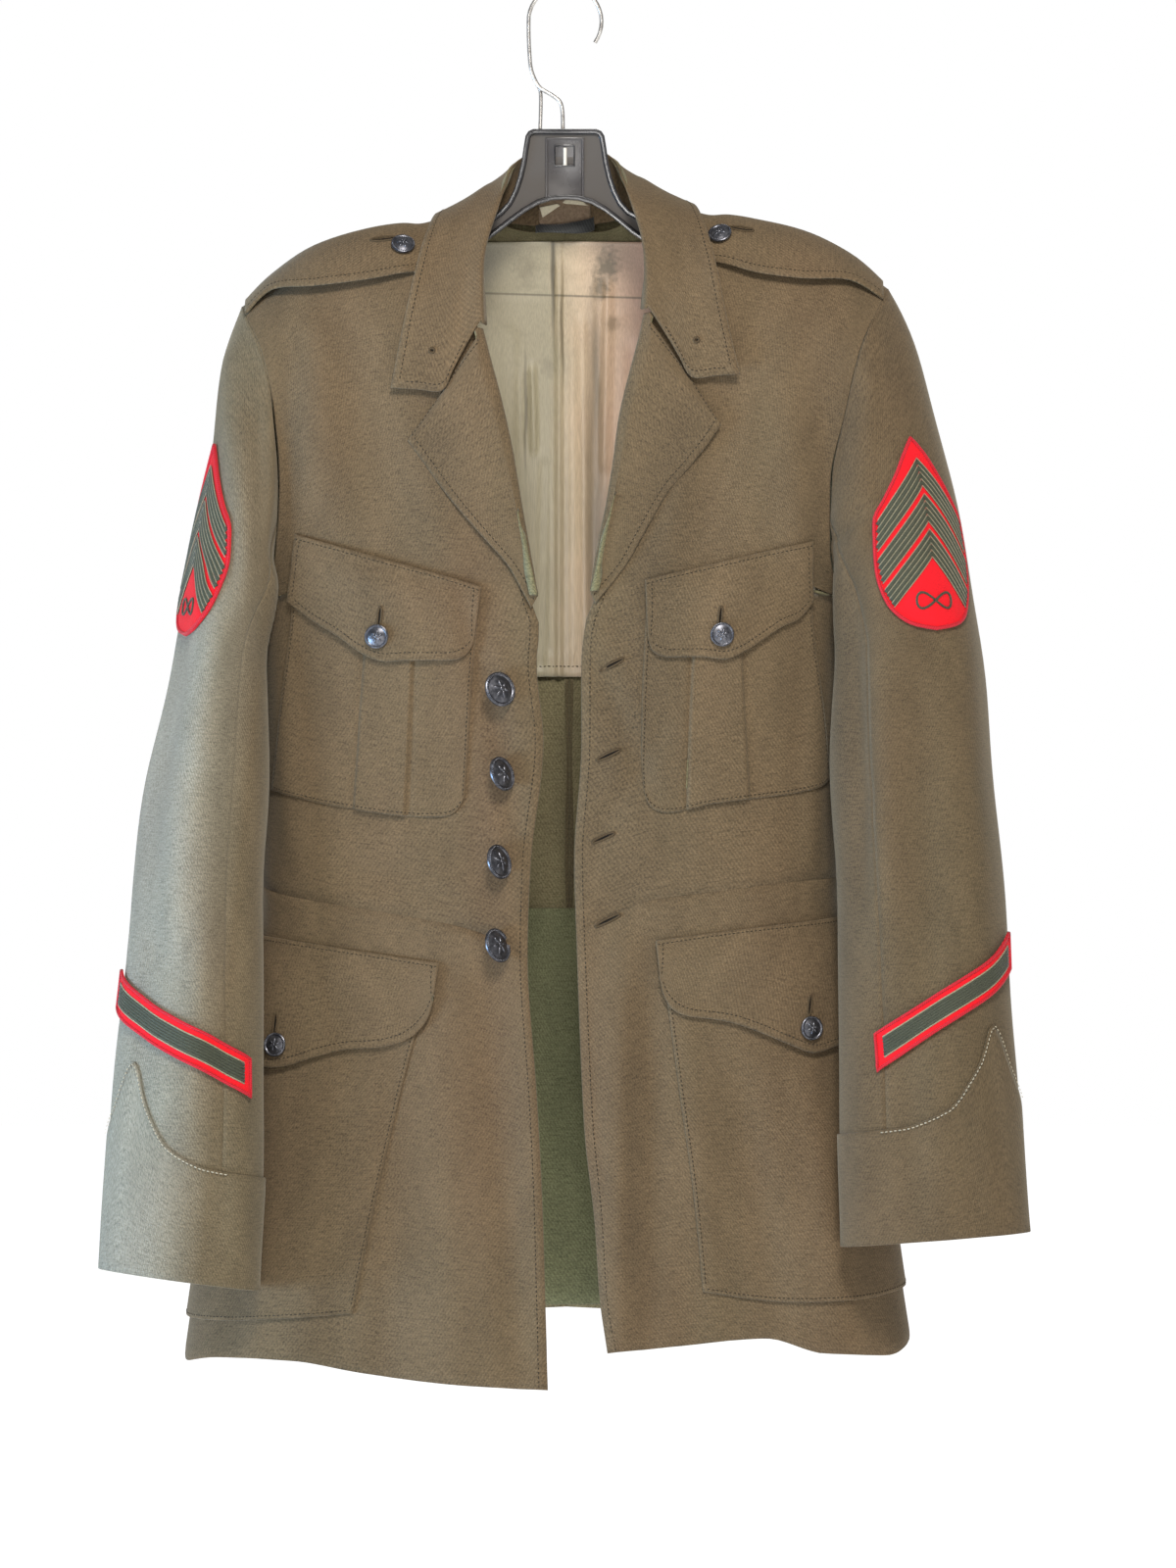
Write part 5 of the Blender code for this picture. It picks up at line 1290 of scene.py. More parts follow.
breastPockets = {
    left: {
        "top": ((-60, -429), (-78, -424), (-102, -417), (-134, -407), (-160, -400), (-184, -392)),
        "bottom": ((-69.5, -563), (-75, -571.5), (-84, -575), (-104, -575), (-128, -572.5), (-150, -569),
                   (-172, -565), (-190, -560), (-202, -557)),
        "inner": ((-60, -429), (-64, -480), (-67, -530), (-69.5, -563)),
        "outer": ((-184, -392), (-190, -460), (-196, -515), (-202, -557)),
    },
    right: {
        "top": ((57, -424), (74, -420), (91, -415), (122, -407), (146, -402), (168, -397)),
        "bottom": ((54.5, -557), (58, -567), (67, -572), (80, -571), (101, -566), (134, -562), (158, -559),
                   (176, -554), (182, -549)),
        "inner": ((57, -424), (54, -480), (53, -530), (54.5, -557)),
        "outer": ((168, -397), (172, -455), (178, -510), (182, -549)),
    },
}
breastFlaps = {
    left: {
        "top": ((-58, -417.5), (-90, -408), (-122, -399), (-154, -390), (-185, -381)),
        "bottom": ((-62, -453), (-66, -462), (-75, -467), (-92, -467.5), (-109, -467.5), (-125, -468),
                   (-139, -462), (-155, -450.5), (-172, -440), (-188.7, -427)),
    },
    right: {
        "top": ((55.4, -413), (84, -406), (113, -399), (142, -392), (170, -385.6)),
        "bottom": ((57, -453), (60, -461), (68, -465), (80, -465), (94, -465), (109, -466.5), (121, -462),
                   (134, -453.5), (148, -444), (160, -438.5), (169, -427)),
    },
}
lowerPockets = {
    left: {
        "top": ((-92, -690), (-140, -684), (-195, -678), (-250, -672), (-312, -668)),
        "bottom": ((-147, -917), (-190, -921), (-240, -923), (-290, -921), (-345, -915)),
        "inner": ((-92, -690), (-110, -750), (-130, -835), (-147, -917)),
        "outer": ((-312, -668), (-323, -750), (-334, -830), (-345, -915)),
    },
    right: {
        "top": ((67, -674), (120, -668), (173, -663), (226, -658), (280, -655)),
        "bottom": ((95.5, -902), (148, -909), (200, -909), (250, -902), (305, -895)),
        "inner": ((67, -674), (77, -750), (88, -830), (95.5, -902)),
        "outer": ((280, -655), (289, -740), (297, -819), (305, -895)),
    },
}
lowerFlaps = {
    left: {
        "top": ((-87, -676.6), (-140, -669), (-204, -660), (-260, -655), (-317, -650)),
        "bottom": ((-90, -700), (-93, -712), (-99, -721), (-109, -729), (-126, -734), (-151, -736),
                   (-172, -741), (-190, -747), (-206, -749), (-222, -745), (-240, -738), (-262, -730),
                   (-290, -724), (-309, -716), (-316, -700)),
    },
    right: {
        "top": ((63, -661), (118, -654), (173, -648), (228, -643), (284, -640)),
        "bottom": ((65, -686), (68, -699), (74, -708), (84, -712.5), (96, -714), (114, -717), (134, -724),
                   (153, -732), (172, -738.5), (190, -734), (208, -727), (228, -720), (252, -716),
                   (275, -707), (284, -690)),
    },
}
pleat = (0.40, 0.60)


def patchPlace(outline, u, v):
    top, bottom = outline["top"], outline["bottom"]
    inner = outline.get("inner", (top[0], bottom[0]))
    outer = outline.get("outer", (top[-1], bottom[-1]))
    a, b, c, d = curveAt(top, u), curveAt(bottom, u), curveAt(inner, v), curveAt(outer, v)
    place = []
    for k in (0, 1):
        corners = mix(mix(top[0][k], top[-1][k], u), mix(bottom[0][k], bottom[-1][k], u), v)
        place.append(mix(a[k], b[k], v) + mix(c[k], d[k], u) - corners)
    return place


def pleatRise(u, v):   # the box pleat stands proud between its two folds, more towards its foot
    inside = ease((u - pleat[0]) / 0.012) * ease((pleat[1] - u) / 0.012)
    notch = math.exp(-((u - pleat[0] + 0.006) / 0.008) ** 2)
    notch += math.exp(-((u - pleat[1] - 0.006) / 0.008) ** 2)
    return mix(1.2, 2.2, v) * inside - 0.7 * notch


def pleatShares(count):   # columns gather at the pleat's folds
    out = [s * 0.385 for s in shares(count // 3)]
    out += [0.389, 0.393, 0.397, 0.4, 0.403, 0.407, 0.411, 0.415]
    out += [mix(0.42, 0.58, s) for s in shares(count // 5)]
    out += [0.585, 0.589, 0.593, 0.597, 0.6, 0.603, 0.607, 0.611]
    return out + [mix(0.616, 1.0, s) for s in shares(count // 3)]


def flapLift(u, v):
    middle = ease(1 - abs(u - 0.5) / 0.42)
    return mix(1.6, 3.6 + 2.6 * middle, ease(v / 0.35)) + 0.5 * math.sin(9 * u + 1) * v


def layPatch(name, side, outline, placer, across, down, lift, wall):
    grid = []
    for v in down:
        places = [(u, patchPlace(outline, u, v)) for u in across]
        grid.append([placer(side, a, z, lift(u, v) + wall) for u, (a, z) in places])
    facing = (side * 0.6, -0.6, 0)
    piece = clothPiece(name, grid, coatWool, wall, facing, part="body")
    keep(piece, [name])


def makePockets():
    for side in (left, right):
        word = sideName(side)
        layPatch("breast_pocket_" + word, side, breastPockets[side], frontPoint, pleatShares(42), shares(40),
                 lambda u, v: 0.5 + pleatRise(u, v), 1.5)
        layPatch("lower_pocket_" + word, side, lowerPockets[side], roundPoint, shares(56), shares(56),
                 lambda u, v: 0.5 + 1.6 * math.sin(math.pi * u) * v, 1.5)
        layPatch("breast_flap_" + word, side, breastFlaps[side], frontPoint, shares(52), shares(24),
                 flapLift, 1.8)
        layPatch("lower_flap_" + word, side, lowerFlaps[side], roundPoint, shares(70), shares(24),
                 flapLift, 1.8)
    print("pockets made")


# Stitches, buttonholes and other sewn trims

def surfaceAt(grid, normals, i, j):   # point and normal at a fractional row and column
    i, j = min(max(i, 0), len(grid) - 1.001), min(max(j, 0), grid.shape[1] - 1.001)
    a, b = int(i), int(j)
    s, t = i - a, j - b
    point = mix(mix(grid[a, b], grid[a, b + 1], t), mix(grid[a + 1, b], grid[a + 1, b + 1], t), s)
    normal = mix(mix(normals[a, b], normals[a, b + 1], t), mix(normals[a + 1, b], normals[a + 1, b + 1], t),
                 s)
    return point, normal / np.linalg.norm(normal)


# a line inside a piece's edge; first and last are left out at its ends
def insetLine(name, edge, inset, first=0, last=0, start=0.0):
    grid, normals, _ = surfaces[name]
    turned = edge in ("inner", "outer")
    work = np.swapaxes(grid, 0, 1) if turned else grid
    if edge in ("bottom", "outer"):
        work = work[::-1]
    lengths = np.concatenate([np.zeros((1, work.shape[1])),
                              np.cumsum(np.linalg.norm(np.diff(work, axis=0), axis=-1), axis=0)])
    line = []
    count = work.shape[1]
    sideLength = np.concatenate([[0], np.cumsum(np.linalg.norm(np.diff(work[min(6, len(work) - 1)], axis=0),
                                                               axis=-1))])
    for k in range(count):
        share = k / (count - 1)
        if share < start or sideLength[k] < first or sideLength[-1] - sideLength[k] < last:
            continue
        place = float(np.interp(inset, lengths[:, k], np.arange(len(lengths))))
        if edge in ("bottom", "outer"):
            place = len(work) - 1 - place
        i, j = (k, place) if turned else (place, k)
        line.append(surfaceAt(grid, normals, i, j))
    return line


def evenly(line, pitch):   # places at an even pitch along a line of (point, normal)
    points = np.array([p for p, n in line])
    away = np.array([n for p, n in line])
    length = np.concatenate([[0], np.cumsum(np.linalg.norm(np.diff(points, axis=0), axis=1))])
    count = max(2, int(length[-1] / pitch))
    at = (np.arange(count) + 0.5) * length[-1] / count
    spots = np.stack([np.interp(at, length, points[:, k]) for k in range(3)], axis=1)
    normals = np.stack([np.interp(at, length, away[:, k]) for k in range(3)], axis=1)
    ahead = np.stack([np.interp(np.minimum(at + 0.6, length[-1]), length, points[:, k]) for k in range(3)],
                     axis=1)
    back = np.stack([np.interp(np.maximum(at - 0.6, 0), length, points[:, k]) for k in range(3)], axis=1)
    along = ahead - back
    along /= np.maximum(np.linalg.norm(along, axis=1, keepdims=True), 1e-9)
    normals /= np.linalg.norm(normals, axis=1, keepdims=True)
    return spots, normals, along


stitching = {"pitch": 3.1, "length": 2.3, "width": 0.85, "height": 0.42}
stitchCorners = np.array([(-0.5, 0, 0), (-0.25, 0.5, 0.1), (0.25, 0.5, 0.1), (0.5, 0, 0), (0.25, -0.5, 0.1),
                          (-0.25, -0.5, 0.1),
                          (-0.2, 0, 1), (0.2, 0, 1)])
stitchFaces = ((0, 6, 5), (0, 1, 6), (1, 2, 7, 6), (2, 3, 7), (3, 4, 7), (4, 5, 6, 7), (0, 5, 4, 3, 2, 1))


def stitchMesh(name, lines, material, size=stitching, sink=0.08):
    spots, faces = [], []
    for line in lines:
        if len(line) < 2:
            continue
        centres, normals, along = evenly(line, size["pitch"])
        for centre, normal, ahead in zip(centres, normals, along):
            beside = np.cross(normal, ahead)
            shift = len(spots)
            for x, y, z in stitchCorners:
                spots.append(tuple((centre + ahead * x * size["length"] + beside * y * size["width"]
                                    + normal * (z * size["height"] - sink)) * mm))
            faces += [tuple(shift + k for k in face) for face in stitchFaces]
    mesh = bpy.data.meshes.new(name)
    mesh.from_pydata(spots, [], faces)
    mesh.shade_smooth()
    return keep(asPiece(name, mesh, material), [])


# thin thread cords that lie on the cloth
def cordMesh(name, lines, radius, material, lift=0.0, sides=6, closed=False):
    spots, faces, places = [], [], []
    for line in lines:
        points = np.array([p + n * lift for p, n in line])
        normals = np.array([n for p, n in line])
        if closed:
            along = np.roll(points, -1, axis=0) - np.roll(points, 1, axis=0)
        else:
            along = np.gradient(points, axis=0)
        along /= np.maximum(np.linalg.norm(along, axis=1, keepdims=True), 1e-9)
        beside = np.cross(normals, along)
        length = np.concatenate([[0], np.cumsum(np.linalg.norm(np.diff(points, axis=0), axis=1))]) * mm
        shift = len(spots)
        for k in range(len(points)):
            for s in range(sides):
                turn = 2 * math.pi * s / sides
                spots.append(tuple((points[k] + (beside[k] * math.cos(turn)
                                                 + normals[k] * math.sin(turn)) * radius) * mm))
                places.append((length[k], s / sides * 2 * math.pi * radius * mm))
        count = len(points) if closed else len(points) - 1
        for k in range(count):
            n = (k + 1) % len(points)
            for s in range(sides):
                e = (s + 1) % sides
                faces.append((shift + k * sides + s, shift + k * sides + e, shift + n * sides + e,
                              shift + n * sides + s))
        if not closed:
            faces.append(tuple(shift + s for s in reversed(range(sides))))
            faces.append(tuple(shift + (len(points) - 1) * sides + s for s in range(sides)))
    mesh = bpy.data.meshes.new(name)
    mesh.from_pydata(spots, [], faces)
    layer = mesh.uv_layers.new(name="cloth")
    corner = np.zeros(len(mesh.loops), np.int64)
    mesh.loops.foreach_get("vertex_index", corner)
    layer.data.foreach_set("uv", np.array(places, np.float32)[corner].ravel())
    mesh.shade_smooth()
    return keep(asPiece(name, mesh, material), [])


def nearestOn(name, x, z):   # point and normal of a piece nearest to a place seen from the front
    grid, normals, _ = surfaces[name]
    away = (grid[..., 0] - x) ** 2 + (grid[..., 2] - z) ** 2 + np.where(normals[..., 1] > 0.2, 1e6, 0)
    i, j = np.unravel_index(np.argmin(away), away.shape)
    return grid[i, j], normals[i, j]


edgeRows = (
    # piece, edge, distance from it, lengths left out at its two ends, share where the row starts
    ("front_", "inner", 5.5, 0, 0, 0.46), ("skirt_", "inner", 5.5),
    ("lapel_", "outer", 4.5, 3), ("lapel_", "top", 4.5, 0, 4.5, 0.3),
    ("breast_flap_", "bottom", 5, 4, 4), ("breast_flap_", "inner", 4, 2, 6),
    ("breast_flap_", "outer", 4, 2, 6), ("breast_flap_", "top", 2.5),
    ("lower_flap_", "bottom", 5, 4, 4), ("lower_flap_", "inner", 4, 2, 8),
    ("lower_flap_", "outer", 4, 2, 8), ("lower_flap_", "top", 2.5),
    ("breast_pocket_", "bottom", 2, 2, 2), ("breast_pocket_", "inner", 2, 2, 3),
    ("breast_pocket_", "outer", 2, 2, 3),
    ("lower_pocket_", "bottom", 2, 2, 2), ("lower_pocket_", "inner", 2, 2, 3),
    ("lower_pocket_", "outer", 2, 2, 3),
    ("strap_", "outer", 5, 3, 2), ("strap_", "top", 4, 2, 4),
)
collarRows = (("outer", 4.5, 4, 4), ("top", 4.5, 0, 4.5, 0.55), ("bottom", 4.5, 0, 4.5, 0.55))


def cuffPlace(side, j, lift):   # just below the cuff's upper edge, at a column of the sleeve
    turn = 360 * (j % sleeve["sides"]) / sleeve["sides"]
    height = hemHeight(side, 360 * j / sleeve["sides"]) + read(sleeve["cuffRise"], turn, 1) - 1.4
    return onSleeve(side, j % sleeve["sides"], height, lift)


def makeStitches():
    rows = [insetLine(piece + sideName(side), *row) for side in (left, right) for piece, *row in edgeRows]
    rows += [insetLine("collar", *row) for row in collarRows]
    stitchMesh("edge_stitching", rows, seamThread)
    pale = []
    for side in (left, right):
        places = [(cuffPlace(side, j, 3.05), cuffPlace(side, j, 4.05)) for j in range(2, 34)]
        pale.append([(place, above - place) for place, above in places])
    stitchMesh("cuff_stitching", pale, paleStitch)
    print("stitches made")


buttonholes = {
    # x, z of the middle, length, slope in degrees, piece it is on
    "front": ((32, -471, 19, 27, "front_right"), (30, -533, 18, 25, "front_right"),
              (26.5, -590, 17, 24, "front_right"),
              (29.5, -647, 19, 26, "front_right")),
    "flap": ((-127.5, -438, 14, 84, "breast_flap_left"), (107, -438, 14, 84, "breast_flap_right"),
             (169, -706, 14, 84, "lower_flap_right"), (-200, -719, 14, 84, "lower_flap_left")),
    "strap": ((-126, -176, 17, 5, "strap_left"), (122, -169, 17, -8, "strap_right")),
}
eyelets = ((-91.5, -254.3, "collar"), (90.8, -247, "collar"))


def makeButtonholes():
    loops, slits, rings = [], [], []
    for places in buttonholes.values():
        for x, z, length, slope, name in places:
            turn = math.radians(slope)
            outline, slit = [], []
            for k in range(28):
                a = 2 * math.pi * k / 28
                along, beside = math.cos(a) * length / 2, math.sin(a) * (1.35
                        + 0.7 * max(0, math.cos(a)) ** 4)
                across = x + along * math.cos(turn) - beside * math.sin(turn)
                outline.append(nearestOnFine(name, across,
                                             z + along * math.sin(turn) + beside * math.cos(turn)))
            for k in range(9):
                along = (k / 8 - 0.5) * (length - 1.5)
                slit.append(nearestOnFine(name, x + along * math.cos(turn), z + along * math.sin(turn)))
            loops.append(outline)
            slits.append(slit)
    for x, z, name in eyelets:
        turns = [2 * math.pi * k / 16 for k in range(16)]
        rings.append([nearestOnFine(name, x + 1.7 * math.cos(a), z + 1.7 * math.sin(a)) for a in turns])
        slits.append([nearestOnFine(name, x - 0.8 + 0.4 * k, z) for k in range(5)])
    cordMesh("buttonhole_threads", loops + rings, 0.8, holeThread, 0.25, 6, True)
    # near-black cords sunk along each cut: painted shade in the slits
    cordMesh("buttonhole_slits", slits, 0.75, holeDark, -0.35)
    print("buttonholes made")


def nearestOnFine(name, x, z):   # as nearestOn, slid along the surface to the exact place
    point, normal = nearestOn(name, x, z)
    dx, dz = x - point[0], z - point[2]
    dy = -(normal[0] * dx + normal[2] * dz) / (normal[1] if abs(normal[1]) > 0.15 else -0.15)
    return point + np.array((dx, dy, dz)), normal


# Buttons: turned once for each size, with a rope rim and a plain rosette, then copied

button = {
    "sides": 48, "rope": 40, "petals": 6,
    # name, diameter and how high its underside stands over its foot
    "large": ("button_large", 25.0, 2.0),
    "small": ("button_small", 17.0, 1.2),
    # the face's rings from its rim to its middle: width as a share of the radius, rise on the large button
    "rings": ((0.05, 0.45), (0.05, 0.2), (0.06, -0.15), (0.05, -0.5), (0.16, 0.8), (0.22, 0.8),
              (0.22, 0.5), (0.12, 0.14)),
    "nods": ((-24, 56), (-22, 38), (-24, 48), (-24, 48)),   # how the front buttons hang, tipped and turned
    "shank": 5.0, "sunk": 0.3,    # the front buttons' shank, and how deep the others sit in the cloth
    "front": ((-44.5, -488), (-46.6, -547), (-47.9, -607), (-48.6, -665)),
    "pocket": {
        "breast_button_left": (left, -129, -451.5),
        "breast_button_right": (right, 108, -450),
        "lower_button_left": (left, -204, -733),
        "lower_button_right": (right, 173, -721.5),
    },
    "strap": {"strap_button_left": (left, -112, -181), "strap_button_right": (right, 107.5, -173.5)},
}


def activeMesh():
    return bpy.context.view_layer.objects.active


def clearSelection():
    bpy.ops.object.select_all(action="DESELECT")


def pickEndFace(piece, choose):   # selects the highest or the lowest face
    bpy.ops.object.mode_set(mode="EDIT")
    bpy.ops.mesh.select_all(action="DESELECT")
    bpy.ops.object.mode_set(mode="OBJECT")
    choose(piece.data.polygons, key=lambda face: face.center.z).select = True
    bpy.ops.object.mode_set(mode="EDIT")


def addBead(radius, spot, rotation, stretch, segments, rings):   # a squeezed ball on the button's face
    bpy.ops.mesh.primitive_uv_sphere_add(segments=segments, ring_count=rings, radius=radius, location=spot,
                                         rotation=rotation)
    bpy.ops.transform.resize(value=stretch, orient_type="LOCAL")
    return activeMesh()


def modelButton(name, size, stand):
    radius = size / 2 * mm
    clearSelection()
    bpy.ops.mesh.primitive_cylinder_add(vertices=button["sides"], radius=radius * 0.97, depth=1.2 * mm,
                                        location=(0, 0, (stand + 1.3) * mm))
    piece = activeMesh()
    bpy.ops.object.transform_apply(location=True, rotation=True, scale=True)
    pickEndFace(piece, max)
    for thickness, rise in button["rings"]:
        bpy.ops.mesh.inset(thickness=thickness * radius, depth=rise * mm * size / 25)
    bpy.ops.object.mode_set(mode="OBJECT")
    pickEndFace(piece, min)
    bpy.ops.mesh.inset(thickness=radius * 0.68)
    bpy.ops.mesh.extrude_region_move(TRANSFORM_OT_translate={"value": (0, 0, -(stand + 0.6) * mm)})
    bpy.ops.object.mode_set(mode="OBJECT")
    parts = [piece]
    face = stand + 1.9
    for k in range(button["rope"]):   # rope rim
        turn = 2 * math.pi * k / button["rope"]
        spot = Vector((math.cos(turn), math.sin(turn), 0)) * radius * 0.87
        spot.z = (face + 0.62 * size / 25) * mm
        parts.append(addBead(radius * 0.062, spot, (0, 0, turn + 0.6), (0.75, 1.45, 0.7), 8, 6))
    for k in range(button["petals"]):   # rosette
        turn = 2 * math.pi * k / button["petals"]
        spot = Vector((math.cos(turn), math.sin(turn), 0)) * radius * 0.33
        spot.z = (face + 1.75 * size / 25) * mm
        parts.append(addBead(radius * 0.2, spot, (0, 0.22, turn), (1.15, 0.5, 0.34), 10, 6))
    parts.append(addBead(radius * 0.16, (0, 0, (face + 1.95 * size / 25) * mm), (0, 0, 0), (1, 1, 0.6), 16,
                         8))
    clearSelection()
    for part in parts:
        part.select_set(True)
    bpy.context.view_layer.objects.active = piece
    bpy.ops.object.join()
    bpy.ops.object.transform_apply(location=True, rotation=True, scale=True)
    bpy.ops.object.shade_smooth_by_angle(angle=math.radians(38))
    piece.name = name
    return piece


def placeButton(master, name, point, normal, nod, spin):
    mesh = master.data.copy()
    turn = Vector(normal).to_track_quat("Z", "Y").to_matrix().to_4x4()
    lean = Matrix.Rotation(math.radians(nod[0]), 4, "X") @ Matrix.Rotation(math.radians(nod[1]), 4, "Z")
    mesh.transform(Matrix.Translation(Vector(point) * mm) @ lean @ turn @ Matrix.Rotation(spin, 4, "Z"))
    mesh.materials.clear()
    return keep(asPiece(name, mesh, buttonMetal), [name])


def makeButtons():
    large, small = modelButton(*button["large"]), modelButton(*button["small"])
    for k, (across, height) in enumerate(button["front"]):
        point, normal = nearestOnFine("front_left" if k < 3 else "skirt_left", across, height)
        foot = point + normal * button["shank"]
        placeButton(large, "front_button_%d" % (k + 1), foot, normal, button["nods"][k], 0.5 * k)
    for name, (side, distance, height) in button["pocket"].items():
        flap = name.replace("button", "flap")
        if name.startswith("breast"):
            point, normal = nearestOnFine(flap, distance, height)
        else:
            spot = roundPoint(side, distance, height)
            point, normal = nearestOnFine(flap, spot.x, height)
        placeButton(small, name, point - normal * button["sunk"], normal, (0, 0), 0.3)
    for name, (side, across, height) in button["strap"].items():
        point, normal = nearestOnFine(name.replace("button_", ""), across, height)
        placeButton(small, name, point - normal * button["sunk"], normal, (0, 0), 0.9)
    for master in (large, small):
        bpy.data.objects.remove(master, do_unlink=True)
    print("buttons made")


# Rank patches and service stripes

patch = {
    "places": {left: (-318, 16), right: (-314, 60)},   # height of the top, girth of the middle
    "outline": (
        # across, below the top: half of the patch, from its point round to the middle of its foot
        (0, 0), (8, 11), (18, 27), (29, 43), (37.5, 56), (39.5, 74), (39.5, 92), (37, 106), (31, 119),
        (19, 129), (0, 133),
    ),
    "chevrons": (15, 39.5, 64),    # how far the outer point of each lies below the top
    "bar": 19.0,                   # height of a chevron's bar
    "fall": 45.0,                  # how far its arms would fall to the patch's full width
    "ribs": 4,
    "lean": {left: (10, 24), right: (-3, 15)},   # how far the point and the foot stand toward the front
    "tall": 133.0,
}
stripe = {
    "ends": {
        # height and girth of the low end, height and girth of the high end, width up the sleeve
        left: (-741, 122, -681, 6, 27), right: (-724, 122, -655, 14, 26),
    },
}


def sleeveSpot(side, girth, height, lift):
    column = sleeveColumn(side, girth, height)
    return onSleeve(side, column, height, lift), onSleeve(side, column, height, lift + 1)


def sleeveLine(side, places, lift):
    out = []
    for girth, height in places:
        point, above = sleeveSpot(side, girth, height, lift)
        out.append((point, above - point))
    return out


def patchSpot(side, across, below):   # girth and height of a place on the patch
    top, middle = patch["places"][side]
    return middle + across + mix(*patch["lean"][side], below / patch["tall"]), top - below


def patchOutline(side, shrink=0.0):
    half = [curveAt(patch["outline"], k / 40) for k in range(41)]
    points = [(x, y) for x, y in half] + [(-x, y) for x, y in reversed(half[1:-1])]
    centre = np.array((0, 66.0))
    out = []
    for x, y in points:
        away = np.array((x, y)) - centre
        away *= 1 - shrink / np.linalg.norm(away)
        out.append(patchSpot(side, centre[0] + away[0], centre[1] + away[1]))
    return out


def filledPatch(name, side, outline, lift, wall, material, nodes):
    # rings of the outline shrink to a middle line, so that the patch is one grid round its middle
    rings = []
    points = np.array(outline)
    centre = points.mean(axis=0)
    for share in (1.0, 0.97, 0.9, 0.8, 0.68, 0.55, 0.42, 0.29, 0.16, 0.04):
        rings.append([sleeveSpot(side, *(centre + (p - centre) * share), lift)[0] for p in points])
    grid = np.array(rings)
    piece = clothPiece(name, grid, material, wall, tuple(sleeveNormal(side, *centre)), True)
    return keep(piece, nodes)


def sleeveNormal(side, girth, height):
    point, above = sleeveSpot(side, girth, height, 0)
    return above - point


def chevronLine(side, below, inset=2.5):   # broken line of a chevron's edge, kept inside the patch
    widths, drops = zip(*patch["outline"])
    arm = []
    for across in np.arange(0, 39, 0.5):   # an arm ends where it meets the patch's edge
        drop = below + patch["fall"] * across / 36.5
        if across > 3 and across > np.interp(drop, drops, widths) - inset:
            break
        arm.append((across, drop))
    arm = [arm[k] for k in np.linspace(0, len(arm) - 1, 12).astype(int)]
    return [patchSpot(side, -across, drop) for across, drop in reversed(arm[1:])] + [patchSpot(side, across,
            drop) for across, drop in arm]


def makeRankPatches():
    for side in (left, right):
        word = sideName(side)
        filledPatch("rank_patch_" + word, side, patchOutline(side), 2.2, 1.4, redFelt,
                    ["rank_patch_" + word])
        edge = sleeveLine(side, patchOutline(side, 0.8), 2.2)
        cordMesh("rank_patch_edge_" + word, [edge], 1.25, redEdge, 0.1, 8, True)
        threads, pale = [], []
        for below in patch["chevrons"]:
            for k in range(patch["ribs"]):
                threads.append(sleeveLine(side, chevronLine(side,
                                                            below
                                                            + patch["bar"] * (k + 0.5) / patch["ribs"]), 2.5))
            for k in range(patch["ribs"] + 1):
                pale.append(sleeveLine(side, chevronLine(side, below + patch["bar"] * k / patch["ribs"]),
                                       2.5))
        cordMesh("chevron_ribs_" + word, threads, 1.6, greenRib, -0.3, 8)
        cordMesh("chevron_outlines_" + word, pale, 0.36, paleThread, 0.6, 6)
        knot = []
        for k in range(29):   # a plain lying figure of eight, in the same thread
            turn = 2 * math.pi * k / 28
            knot.append(patchSpot(side, 13 * math.sin(turn), 113 + 5.5 * math.sin(2 * turn)))
        cordMesh("patch_motif_" + word, [sleeveLine(side, knot, 2.4)], 0.85, greenRib, 0.2, 6)
    print("rank patches made")


def stripePlace(side, u, v):
    lowHeight, lowGirth, highHeight, highGirth, width = stripe["ends"][side]
    return mix(highGirth, lowGirth, u), mix(highHeight, lowHeight, u) - v * width


def stripeRow(side, v):
    return sleeveLine(side, [stripePlace(side, u, v) for u in np.linspace(0.05, 0.95, 26)], 2.9)


def makeStripes():
    for side in (left, right):
        word = sideName(side)
        grid = [[sleeveSpot(side, *stripePlace(side, u, v), 2.9)[0] for u in shares(34)] for v in shares(9)]
        middle = stripePlace(side, 0.5, 0.5)
        piece = clothPiece("service_stripe_" + word, grid, redFelt, 1.3, tuple(sleeveNormal(side, *middle)))
        keep(piece, ["service_stripe_" + word])
        ring = [stripePlace(side, u, 0.03) for u in shares(30)] + [stripePlace(side, 1, v)
                                                                   for v in shares(8)[1:]]
        ring += [stripePlace(side, 1 - u, 0.97) for u in shares(30)[1:]] + [stripePlace(side, 0, 1 - v)
                for v in shares(8)[1:-1]]
        cordMesh("stripe_edge_" + word, [sleeveLine(side, ring, 2.9)], 1.1, redEdge, 0.0, 8, True)
        bars = [stripeRow(side, v) for v in np.linspace(0.30, 0.70, 6)]
        cordMesh("stripe_ribs_" + word, bars, 1.25, greenRib, -0.1, 8)
        pale = [stripeRow(side, v) for v in (0.235, 0.765)]
        cordMesh("stripe_outlines_" + word, pale, 0.55, paleThread, 0.3, 6)
    print("service stripes made")


# Inside: half lining, seam allowances, label and loop

